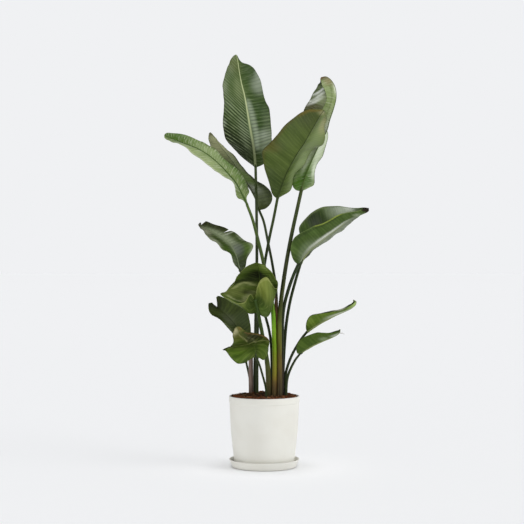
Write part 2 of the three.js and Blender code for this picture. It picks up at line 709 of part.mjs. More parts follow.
function soil() {
  const bottom = potBottom + potFloor + gap;
  const band = potTop - potBandHeight;
  const inside = potWall + gap;
  let solid = turned([
    [0, bottom], [potFootRadius - inside - 5, bottom], [potFootRadius - inside, bottom + 5],
    [potLowRadius - inside, potLowHeight], [potMiddleRadius - inside, potMiddleHeight],
    [potRimRadius - potBandStep - inside, band], [potRimRadius - inside, soilEdgeTop - 2],
    [potRimRadius - inside - 3, soilEdgeTop], [potRimRadius - 60, soilMiddleTop - 1],
    [0, soilMiddleTop],
  ]);
  const stems = [
    ...leaves.map(({ foot, footSize }) => ({ foot, size: footSize })),
    { foot: newLeaf.foot, size: newLeaf.widths[0] },
    { foot: drySheath.foot, size: drySheath.widths[0] },
  ];
  stems.forEach(({ foot, size }) => {
    const hole = new THREE.CylinderGeometry(1, 1, 2 * holeDepth, holeSides);
    hole.rotateX(Math.PI / 2);
    hole.scale(size[0] / 2 + holeSlack, size[1] / 2 + holeSlack, 1);
    hole.translate(foot[0], foot[1], stemFoot + holeDepth);
    solid = solid.subtract(solidOfGeometry(hole));
  });
  return solid;
}

// The new leaf or the dry sheath, as wide in the soil as at the start of its path
function plainStem({ foot, path, widths }) {
  const points = stemPoints(foot, path);
  const buried = Array(points.length - path.length).fill(widths[0]);
  return rod(points, [...buried, ...widths]);
}

const group = new THREE.Group();
group.add(
  meshOf('saucer', saucer(), colours.offWhite, 0.7),
  meshOf('pot', pot(), colours.offWhite, 0.7),
  meshOf('soil', soil(), colours.soil, 0.95),
  meshOf('new_leaf', plainStem(newLeaf), colours.spear, 0.6),
  meshOf('dry_sheath', plainStem(drySheath), colours.sheath, 0.85),
);
leaves.forEach((leaf) => group.add(meshOf(leaf.name, leafBody(leaf), leaf.colour, 0.4)));
export default group;
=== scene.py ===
# %% [markdown]
# # A potted bird of paradise
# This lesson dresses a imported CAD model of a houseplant: thirteen long-stalked leaves, a rolled new
# leaf and an old dry sheath in bark soil, in an off-white pot on its saucer. The CAD solids give every
# place and size. Each one is replaced by a finer piece that keeps its form, because a living surface
# needs veins, folds and colour changes that a plain solid does not have.

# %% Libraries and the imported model
import math

import bpy
import numpy as np
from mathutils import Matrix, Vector


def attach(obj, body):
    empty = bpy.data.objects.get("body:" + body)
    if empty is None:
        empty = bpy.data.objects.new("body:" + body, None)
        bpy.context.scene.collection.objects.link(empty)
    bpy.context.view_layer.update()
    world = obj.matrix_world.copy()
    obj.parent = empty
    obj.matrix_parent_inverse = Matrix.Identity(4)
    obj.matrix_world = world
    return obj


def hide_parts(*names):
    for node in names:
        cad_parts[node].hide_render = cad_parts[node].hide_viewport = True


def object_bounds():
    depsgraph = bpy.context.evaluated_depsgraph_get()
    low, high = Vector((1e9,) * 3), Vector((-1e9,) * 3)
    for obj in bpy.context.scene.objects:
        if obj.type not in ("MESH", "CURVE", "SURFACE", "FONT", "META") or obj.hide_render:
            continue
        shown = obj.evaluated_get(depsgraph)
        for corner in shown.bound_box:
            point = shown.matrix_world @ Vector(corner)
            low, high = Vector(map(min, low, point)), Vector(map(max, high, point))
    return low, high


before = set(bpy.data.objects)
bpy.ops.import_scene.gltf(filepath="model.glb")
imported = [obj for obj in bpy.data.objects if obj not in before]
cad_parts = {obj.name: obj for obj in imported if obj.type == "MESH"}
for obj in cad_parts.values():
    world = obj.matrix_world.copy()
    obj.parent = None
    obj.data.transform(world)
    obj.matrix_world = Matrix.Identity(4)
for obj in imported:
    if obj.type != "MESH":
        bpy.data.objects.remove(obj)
cad_low, cad_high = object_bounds()
MM = 0.001
print("CAD height", round(cad_high.z, 3), "m,", len(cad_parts), "nodes")

# %% [markdown]
# ## Colours
# Colours are noted the way a screen shows them, from 0 to 255, because that is how a maker reads them
# off a plant. Blender works with light, so each one is turned into a linear colour once.

# %% From screen colours to light
def screen(red, green, blue):
    """A linear colour from the three screen values."""
    share = np.array([red, green, blue]) / 255
    linear = np.where(share <= 0.04045, share / 12.92, ((share + 0.055) / 1.055) ** 2.4)
    return tuple(float(value) for value in linear)


print("one leaf green in linear light:", [round(c, 3) for c in screen(63, 90, 56)])

# %% [markdown]
# ## Writing node trees as expressions
# A material or a Geometry Nodes tree is a graph of small boxes. Adding each box by hand takes many
# lines, so one class wraps an output and turns + - * / into Math nodes, and a second one adds any
# other node from its type, its settings and its inputs. Both work in shaders and in geometry trees.
# Two more classes build on them, one for trees that grow geometry and one for materials.

# %% Sockets that can be added and multiplied
class Socket:
    """The output of a node, which arithmetic can use."""

    def __init__(self, graph, output):
        self.graph, self.output = graph, output

    def __add__(self, other):
        return self.graph.maths("ADD", self, other)

    def __sub__(self, other):
        return self.graph.maths("SUBTRACT", self, other)

    def __rsub__(self, other):
        return self.graph.maths("SUBTRACT", other, self)

    def __mul__(self, other):
        return self.graph.maths("MULTIPLY", self, other)

    def __truediv__(self, other):
        return self.graph.maths("DIVIDE", self, other)


# %% A graph that any node can be added to
class Graph:
    """A shader tree or a geometry tree, built one node at a time."""

    def __init__(self, tree):
        self.tree = tree

    def node(self, kind, inputs=None, output=0, stops=None, **settings):
        """Adds a node. Stops are the (place, screen colour) pairs of a colour ramp."""
        made = self.tree.nodes.new(kind)
        for name, value in settings.items():
            setattr(made, name, value)
        if stops:
            ramp = made.color_ramp.elements
            ramp.remove(ramp[1])
            for count, (place, colour) in enumerate(stops):
                mark = ramp.new(place) if count else ramp[0]
                mark.position, mark.color = place, (*screen(*colour), 1)
        for name, value in (inputs or {}).items():
            self.join(value, made.inputs[name])
        return Socket(self, made.outputs[output]) if len(made.outputs) else made

    def join(self, value, socket):
        if isinstance(value, Socket):
            self.tree.links.new(value.output, socket)
        else:
            socket.default_value = value

    def maths(self, operation, *values):
        return self.node("ShaderNodeMath", dict(enumerate(values)), operation=operation)

    def vectors(self, operation, *values, scale=None):
        inputs = dict(enumerate(values)) | ({} if scale is None else {"Scale": scale})
        return self.node("ShaderNodeVectorMath", inputs, operation=operation)

    def step(self, value, low, high, start=0.0, end=1.0):
        """A soft step from start to end while the value goes from low to high."""
        inputs = {0: value, 1: low, 2: high, 3: start, 4: end}
        return self.node("ShaderNodeMapRange", inputs, interpolation_type="SMOOTHSTEP")

    def parts(self, vector):
        """The three numbers of a vector."""
        first = self.node("ShaderNodeSeparateXYZ", {0: vector})
        outputs = first.output.node.outputs
        return [Socket(self, output) for output in outputs]

    def vector(self, x, y, z):
        return self.node("ShaderNodeCombineXYZ", {0: x, 1: y, 2: z})

    def noise(self, vector, scale, detail=2.0, output=0):
        inputs = {"Vector": vector, "Scale": scale, "Detail": detail}
        return self.node("ShaderNodeTexNoise", inputs, output)


# %% A graph that makes geometry
class Growth(Graph):
    """A Geometry Nodes tree. Its inputs are given as (label, kind, value) and kept as sockets."""

    def __init__(self, name, *inputs):
        super().__init__(bpy.data.node_groups.new(name, "GeometryNodeTree"))
        for label, kind, value in inputs:
            made = self.tree.interface.new_socket(label, in_out="INPUT", socket_type="NodeSocket" + kind)
            if value is not None:
                made.default_value = value
        self.tree.interface.new_socket("Skin", in_out="OUTPUT", socket_type="NodeSocketGeometry")
        outputs = self.node("NodeGroupInput").output.node.outputs
        self.given = [Socket(self, output) for output in outputs[:len(inputs)]]
        self.spot = self.node("GeometryNodeInputPosition")

    def change(self, kind, geometry, inputs=None, **settings):
        """Adds a node that changes a geometry."""
        return self.node("GeometryNode" + kind, {"Geometry": geometry} | (inputs or {}), **settings)

    def keep(self, geometry, name, value, domain="POINT"):
        """Stores a number on every point or instance."""
        return self.change("StoreNamedAttribute", geometry, {"Name": name, "Value": value},
                           data_type="FLOAT", domain=domain)

    def end(self, geometry, finish):
        """Ends the tree with real geometry that has its finish."""
        real = self.change("RealizeInstances", geometry)
        self.node("NodeGroupOutput", {0: self.change("SetMaterial", real, {"Material": finish})})
        return self.tree


# %% A graph that makes a material
class Finish(Graph):
    """A material with one Principled shader, whose inputs are written as expressions."""

    def __init__(self, name):
        self.material = bpy.data.materials.new(name)
        self.material.use_nodes = True
        super().__init__(self.material.node_tree)
        self.tree.nodes.clear()
        self.place = self.node("ShaderNodeTexCoord", output="Object")

    def blend(self, factor, first, second):
        """A colour between two others, each a socket or a screen colour."""
        first, second = (c if isinstance(c, Socket) else (*screen(*c), 1) for c in (first, second))
        return self.node("ShaderNodeMix", {0: factor, 6: first, 7: second}, 2, data_type="RGBA")

    def attribute(self, name, output="Fac"):
        return self.node("ShaderNodeAttribute", output=output, attribute_name=name)

    def bump(self, height, distance, strength=1.0):
        return self.node("ShaderNodeBump", {"Height": height, "Distance": distance, "Strength": strength})

    def surface(self, colour, roughness, shine, normal=None):
        """Ends the material. The shine is the same all over."""
        inputs = {"Base Color": colour, "Roughness": roughness, "Specular IOR Level": shine}
        if normal:
            inputs["Normal"] = normal
        shader = self.node("ShaderNodeBsdfPrincipled", inputs)
        self.node("ShaderNodeOutputMaterial", {"Surface": shader})
        return self.material


print("graph helpers ready")

# %% [markdown]
# ## The camera
# A photographer stood about five metres away with a long lens, level with the middle of the plant.
# A level camera keeps the pot's sides from leaning, so it is turned exactly a quarter turn up from
# looking at the floor and nothing else.

# %% A level camera with a long lens
CAMERA_PLACE = (-9.1, -5210, 813)
LENS, FILM_WIDTH, FARTHEST = 90, 36, 300


def put(name, data):
    """An object in the scene that holds a camera, a lamp or a mesh."""
    made = bpy.data.objects.new(name, data)
    bpy.context.scene.collection.objects.link(made)
    return made


camera = put("camera", bpy.data.cameras.new("camera"))
camera.data.lens, camera.data.sensor_width, camera.data.clip_end = LENS, FILM_WIDTH, FARTHEST
camera.location = [value * MM for value in CAMERA_PLACE]
camera.rotation_euler = (math.pi / 2, 0, 0)
bpy.context.scene.camera = camera
print("camera at", [round(v, 3) for v in camera.location])

# %% [markdown]
# ## The studio
# The plant stands in a white studio. A world that glows at the height of the eye is the white cove
# around it, with a dimmer ceiling so that the leaves have something light and something dark to
# mirror. A large soft box at the upper right is the main light, and a weaker one at the left fills the
# shade. The floor should show only a faint shadow, so light linking keeps both boxes for the plant,
# and two suns light the floor: a weak slanting one that casts the plant's soft shadow, and one from
# above that only the pot and its saucer block. The floor's grey is worked out from all of this, so
# that floor and world look equally bright and no horizon shows.

# %% The world
SKY = np.array(screen(240, 241, 243))
CEILING = 0.2
COVE_TOP, CEILING_FROM = 0.25, 0.6

world = bpy.data.worlds.new("studio")
bpy.context.scene.world = world
world.use_nodes = True
sky = Graph(world.node_tree)
sky.tree.nodes.clear()
height = sky.parts(sky.node("ShaderNodeTexCoord", output="Generated"))[2]
glow = sky.node("ShaderNodeBackground", {
    "Color": (*map(float, SKY), 1), "Strength": sky.step(height, COVE_TOP, CEILING_FROM, 1.0, CEILING)})
sky.node("ShaderNodeOutputWorld", {"Surface": glow})
bpy.context.scene.view_settings.view_transform = "Standard"

# %% Floor
SHADOW_SUN, PLAIN_SUN = 0.4, 1.8
SHADOW_FROM, PLAIN_FROM = (0.75, -0.35, 0.62), (0.0, 0.0, 1.0)
FLOOR_REACH = 90.0


def ease(share):
    """A soft start and a soft end."""
    return share * share * (3 - 2 * share)


heights = np.linspace(0, 1, 400)
easing = ease(np.clip((heights - COVE_TOP) / (CEILING_FROM - COVE_TOP), 0, 1))
world_light = SKY * float(np.mean(2 * heights * (1 + (CEILING - 1) * easing)))
shadow_slope = SHADOW_FROM[2] / math.hypot(*SHADOW_FROM)
floor_grey = SKY / (world_light + (SHADOW_SUN * shadow_slope + PLAIN_SUN) / math.pi)
corners = [(x * FLOOR_REACH, y * FLOOR_REACH, 0) for x, y in ((-1, -1), (1, -1), (1, 1), (-1, 1))]
floor_mesh = bpy.data.meshes.new("studio_floor")
floor_mesh.from_pydata(corners, [], [(0, 1, 2, 3)])
floor_mesh.materials.append(
    Finish("studio_floor").surface((*map(float, floor_grey), 1), 1.0, 0.0))
floor_piece = put("studio_floor", floor_mesh)
print("floor grey", [round(float(v), 3) for v in floor_grey])

# %% Lamps
floor_only, plant_only, dish_only = map(
    bpy.data.collections.new, ("floor_only", "plant_only", "dish_only"))
floor_only.objects.link(floor_piece)


def lamp(name, kind, energy, place, aim, receivers, blockers=None, **settings):
    """A lamp at a place, turned to its aim, that lights only what is in one collection."""
    made = put(name, bpy.data.lights.new(name, kind))
    for setting, value in {"energy": energy, **settings}.items():
        setattr(made.data, setting, value)
    made.location = place
    made.rotation_euler = (Vector(place) - Vector(aim)).to_track_quat("Z", "Y").to_euler()
    made.light_linking.receiver_collection = receivers
    if blockers:
        made.light_linking.blocker_collection = blockers


lamp("shadow_sun", "SUN", SHADOW_SUN, SHADOW_FROM, (0, 0, 0), floor_only, angle=math.radians(34))
lamp("plain_sun", "SUN", PLAIN_SUN, PLAIN_FROM, (0, 0, 0), floor_only, dish_only,
     angle=math.radians(54))
BOXES = {"soft_box": (78, (3.0, -1.0, 2.6), (0.05, 0, 1.15), 1.2, 1.7),
         "fill_box": (42, (-2.4, -3.2, 1.9), (0.05, 0, 0.9), 1.6, 2.2)}
for name, (watts, place, aim, width, tall) in BOXES.items():
    lamp(name, "AREA", watts, place, aim, plant_only, shape="RECTANGLE", size=width, size_y=tall)
print("two soft boxes for the plant, two suns for the floor")

# %% [markdown]
# ## One tree for everything that is drawn along a line
# A stalk, a pot wall and a saucer have one thing in common: a ring that changes its size while it
# travels along a line. So one Geometry Nodes tree makes them all. It takes a rail, which is a chain
# of points that carry the two widths and the two directions of the ring, and wraps a tube around it.
# Turning on a lathe is the same thing with a rail that goes up and down one axis.

# %% The loft tree
def loft_tree():
    """A tube around a rail, with a shallow groove along its back where one is asked for."""
    graph = Growth("loft_along_rail", ("Rail", "Geometry", None), ("Sides", "Int", 24),
                   ("Closed ends", "Bool", True), ("Groove", "Float", 0.0), ("Finish", "Material", None))
    rail, sides, closed, groove, finish = graph.given
    segments = graph.node("GeometryNodeAttributeDomainSize", {0: rail}) - 1
    tubes = [graph.node("GeometryNodeMeshCylinder",
                        {"Vertices": sides, "Side Segments": segments, "Radius": 1.0, "Depth": 1.0},
                        fill_type=fill) for fill in ("NONE", "NGON")]
    tube = graph.node("GeometryNodeSwitch", {0: closed, 1: tubes[0], 2: tubes[1]},
                      input_type="GEOMETRY")
    x, y, z = graph.parts(graph.spot)
    ring = graph.maths("ROUND", (z + 0.5) * segments)

    def at_ring(value, kind="FLOAT_VECTOR"):
        return graph.change("SampleIndex", rail, {"Value": value, "Index": ring}, data_type=kind,
                            domain="POINT")

    def carried(name, kind="FLOAT_VECTOR"):
        value = graph.node("GeometryNodeInputNamedAttribute", {"Name": name}, data_type=kind)
        return at_ring(value, kind)

    channel = groove * graph.step(y, 0.35, 1.0) * graph.step(graph.maths("ABSOLUTE", x), 0.75, 0.0)
    sideways = graph.vectors("SCALE", carried("side"), scale=x * carried("wide", "FLOAT") * 0.5)
    backways = graph.vectors("SCALE", carried("back"),
                             scale=(y - channel) * carried("deep", "FLOAT") * 0.5)
    place = graph.vectors("ADD", graph.vectors("ADD", at_ring(graph.spot), sideways), backways)
    skin = graph.change("SetPosition", tube, {"Position": place})
    skin = graph.change("MergeByDistance", skin, {"Distance": 1e-6})
    return graph.end(graph.change("SetShadeSmooth", skin), finish)


LOFT = loft_tree()
print("loft tree with", len(LOFT.nodes), "nodes")

# %% From a tree to a plain mesh
def grown(name, source, tree, **sizes):
    """The plain mesh that a tree makes of a source mesh."""
    holder = put(name, source)
    modifier = holder.modifiers.new(name, "NODES")
    modifier.node_group = tree
    for item in tree.interface.items_tree:
        key = item.name.replace(" ", "_")
        if item.in_out == "INPUT" and key in sizes:
            modifier[item.identifier] = sizes[key]
    result = bpy.data.meshes.new_from_object(
        holder.evaluated_get(bpy.context.evaluated_depsgraph_get()))
    bpy.data.objects.remove(holder)
    result.name = name
    result.materials.clear()
    result.materials.append(sizes["Finish"])
    result.polygons.foreach_set("material_index", np.zeros(len(result.polygons), np.int32))
    return result


def carry(mesh, kind, field, **values):
    """Keeps numbers at the points of a mesh, for a tree or a finish."""
    for name, numbers in values.items():
        made = mesh.attributes.new(name, kind, "POINT")
        made.data.foreach_set(field, np.asarray(numbers, np.float32).ravel())


def rail_mesh(points, wide, deep, side, back):
    """A chain of points that carry the sizes and directions of a ring, for the loft tree."""
    mesh = bpy.data.meshes.new("rail")
    count = len(points)
    mesh.from_pydata([tuple(map(float, p)) for p in points], [(i, i + 1) for i in range(count - 1)], [])
    carry(mesh, "FLOAT", "value", wide=wide, deep=deep)
    carry(mesh, "FLOAT_VECTOR", "vector",
          side=np.broadcast_to(side, (count, 3)), back=np.broadcast_to(back, (count, 3)))
    return mesh


def show(name, mesh, slot, *nodes):
    """Puts a finished mesh in the scene, in place of the CAD nodes that it stands for."""
    piece = put(name, mesh)
    plant_only.objects.link(piece)
    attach(piece, "root")
    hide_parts(*nodes)
    triangles = sum(len(face.vertices) - 2 for face in mesh.polygons)
    print(f"{name}: {triangles} triangles")
    return piece


# %% [markdown]
# ## Pot and saucer
# Both are cast or turned pieces with a matt, slightly chalky glaze. Their outlines are the CAD ones
# with every corner rounded, because a real moulded edge has no sharp corner and catches a soft line
# of light. A very fine grain and faint cloudy tones keep the white from looking like plastic.

# %% Outlines with rounded corners
def rounded(outline, radius, steps=5):
    """An outline of [radius, height] points whose corners are replaced by small curves."""
    outline = np.array(outline, float)
    points = [outline[0]]
    for before, corner, after in zip(outline, outline[1:], outline[2:]):
        ends = []
        for other in (before, after):
            arm = other - corner
            length = np.linalg.norm(arm)
            ends.append(corner + arm / length * min(radius, 0.45 * length))
        for share in np.linspace(0, 1, steps):
            points.append((1 - share) ** 2 * ends[0] + 2 * share * (1 - share) * corner
                          + share ** 2 * ends[1])
    return np.vstack([points, outline[-1:]])


def turned(name, outline, finish, sides=160, closed=True):
    """A mesh turned from an outline of [radius, height] in millimetres."""
    outline = np.array(outline) * MM
    points = [(0, 0, height) for _, height in outline]
    rail = rail_mesh(points, 2 * outline[:, 0], 2 * outline[:, 0], (1, 0, 0), (0, 1, 0))
    return grown(name, rail, LOFT, Sides=sides, Closed_ends=closed, Finish=finish)


# %% The chalky off-white finish
def pot_finish():
    """A faintly cloudy white with a very fine grain."""
    finish = Finish("pot_off_white")
    cloud = finish.noise(finish.place, 9.0, 3.0)
    grain = finish.noise(finish.place, 900.0)
    colour = finish.blend(finish.step(cloud, 0.3, 0.7), (224, 222, 213), (228, 227, 219))
    colour = finish.blend(finish.step(grain, 0.62, 0.8) * 0.35, colour, (206, 203, 192))
    relief = finish.bump(grain + cloud * 2.0, 0.00008, 0.7)
    return finish.surface(colour, finish.step(cloud, 0.2, 0.8, 0.55, 0.66), 0.35, relief)


OFF_WHITE = pot_finish()

# %% The turned pot and saucer
POT = [(12, 6.3), (115, 6.3), (117, 8.3), (122, 42), (133, 145), (138.4, 255), (140, 257), (140, 280),
       (138, 282), (135.5, 281), (132.9, 256), (127.5, 145), (116.5, 42), (111.5, 19.3), (107.5, 15.3),
       (12, 15.3)]
SAUCER = [(1, 0), (124, 0), (127, 2), (138.5, 29), (139.5, 31), (138, 32), (134.5, 31), (122, 9),
          (118, 6), (1, 6)]
POT_ROUNDING, SAUCER_ROUNDING = 1.4, 1.2
pot_line = rounded(POT, POT_ROUNDING)
pot_line = np.vstack([pot_line, pot_line[:1]])
saucer_line = rounded(SAUCER, SAUCER_ROUNDING)
for name, line, closed, node in (("pot_body", pot_line, False, "pot"),
                                 ("saucer_dish", saucer_line, True, "saucer")):
    piece = show(name, turned(name, line, OFF_WHITE, closed=closed), "pot_ceramic", node)
    dish_only.objects.link(piece)

# %% [markdown]
# ## Bark soil
# The pot is filled almost to the rim with bark chips and coir. The body of the soil is turned like the
# pot that holds it. Chips and fibres are far too many to place by hand, so a second tree roughens the
# top, scatters a small block and a bent thread over it with a fixed seed, and then pushes every block
# out of shape with one noise, so that no two look alike.

# %% The scatter tree
def bark_tree():
    """Lumps, chips and fibres on the top of the soil."""
    graph = Growth("bark_on_soil", ("Soil", "Geometry", None), ("Chips", "Float", 30000.0),
                   ("Chip size", "Float", 0.013), ("Fibres", "Float", 7000.0),
                   ("Reach", "Float", 0.123), ("Top", "Float", 0.268), ("Finish", "Material", None))
    soil, chips, size, fibres, reach, top, finish = graph.given

    def chance(low, high, seed):
        first, output, kind = (2, 1, "FLOAT") if isinstance(low, float) else (0, 0, "FLOAT_VECTOR")
        return graph.node("FunctionNodeRandomValue", {first: low, first + 1: high, 8: seed}, output,
                          data_type=kind)

    x, y, z = graph.parts(graph.spot)
    on_top = graph.maths("GREATER_THAN", z, top)
    lumps = (graph.noise(graph.spot, 30.0, 3.0) - 0.5) * 0.022
    bed = graph.change("SetPosition", soil,
                       {"Selection": on_top, "Offset": graph.vector(0.0, 0.0, lumps)})
    bed = graph.keep(bed, "shade", 0.1)
    inside = graph.maths("LESS_THAN", graph.maths("SQRT", x * x + y * y), reach) * on_top
    size_vector = graph.vector(size, size, size)

    def scattered(shape, density, seed, tilt, low, high):
        points = graph.node("GeometryNodeDistributePointsOnFaces",
                            {"Mesh": bed, "Selection": inside, "Density": density, "Seed": seed})
        turn = chance((-tilt, -tilt, 0.0), (tilt, tilt, 6.283), seed + 1)
        scale = graph.vectors("MULTIPLY", chance(low, high, seed + 2), size_vector)
        placed = graph.node("GeometryNodeInstanceOnPoints",
                            {"Points": points, "Instance": shape, "Rotation": turn, "Scale": scale})
        placed = graph.keep(placed, "shade", chance(0.15, 1.0, seed + 3), "INSTANCE")
        return graph.change("RealizeInstances", placed)

    block = graph.node("GeometryNodeMeshCube",
                       {"Size": (1.0, 1.0, 1.0), "Vertices X": 4, "Vertices Y": 3, "Vertices Z": 2})
    chip = scattered(block, chips, 3, 0.55, (0.45, 0.3, 0.12), (1.5, 0.85, 0.4))
    rough = graph.vectors("SUBTRACT", graph.noise(graph.spot, 120.0, output=1), (0.5, 0.5, 0.5))
    chip = graph.change("SetPosition", chip, {"Offset": graph.vectors("SCALE", rough, scale=size)})
    bent = graph.node("GeometryNodeCurveQuadraticBezier", {
        "Resolution": 7, "Start": (-1.0, 0.0, 0.0), "Middle": (0.0, 0.9, 0.5), "End": (1.0, 0.1, 0.0)})
    profile = graph.node("GeometryNodeCurvePrimitiveCircle", {"Resolution": 3, "Radius": 0.02})
    thread = graph.node("GeometryNodeCurveToMesh",
                        {"Curve": bent, "Profile Curve": profile, "Fill Caps": True})
    fibre = scattered(thread, fibres, 11, 0.5, (0.6, 0.6, 0.5), (1.7, 1.7, 1.2))
    together = graph.node("GeometryNodeJoinGeometry")
    for part in (fibre, chip, bed):
        graph.join(part, together.output.node.inputs[0])
    return graph.end(together, finish)


# %% The finish of bark and coir
def bark_finish():
    """Brown by the tone of each chip, with painted shade in patches towards the middle, rusty near the pot.
    """
    finish = Finish("bark_and_coir")
    grain = finish.noise(finish.vectors("MULTIPLY", finish.place, (260.0, 260.0, 900.0)), 1.0, 3.0)
    ramp = finish.node("ShaderNodeValToRGB", {"Fac": finish.attribute("shade")}, stops=[
        (0.0, (30, 18, 9)), (0.35, (76, 46, 24)), (0.65, (106, 64, 34)), (0.88, (128, 86, 50)),
        (1.0, (146, 116, 80))])
    colour = finish.blend(finish.step(grain, 0.35, 0.7) * 0.55, ramp, (42, 24, 12))
    # painted shade: dark patches, strongest in the middle where the stalks stand, weakest by the pot
    painted_shade = finish.step(finish.noise(finish.place, 46.0), 0.42, 0.6)
    x, y, _ = finish.parts(finish.place)
    outer = finish.step(finish.maths("SQRT", x * x + y * y), 0.08, 0.12)
    colour = finish.blend(painted_shade * (0.9 - outer * 0.8), colour, (30, 26, 13))
    rusty = finish.step(finish.noise(finish.place, 70.0, 3.0), 0.4, 0.62)
    colour = finish.blend(outer * rusty * 0.65, colour, (128, 64, 30))
    return finish.surface(colour, 0.92, 0.2, finish.bump(grain, 0.0008))


# %% The soil in the pot
SOIL = [(1, 15.6), (106.2, 15.6), (111.2, 20.6), (116.2, 42), (127.2, 145), (132.6, 256), (134.6, 276),
        (131.2, 278.5)]
TOP_RADIUS, TOP_EDGE = SOIL[-1]
TOP_MIDDLE, RING_STEP = 281, 3.2
top_rings = [(r, TOP_MIDDLE - (TOP_MIDDLE - TOP_EDGE) * (r / TOP_RADIUS) ** 3)
             for r in np.arange(TOP_RADIUS - RING_STEP, 1, -RING_STEP)]
bark = bark_finish()
soil_body = turned("soil_body", SOIL + top_rings + [(1, TOP_MIDDLE)], bark, sides=120)
show("soil_and_bark", grown("soil_and_bark", soil_body, bark_tree(), Finish=bark), "soil", "soil")
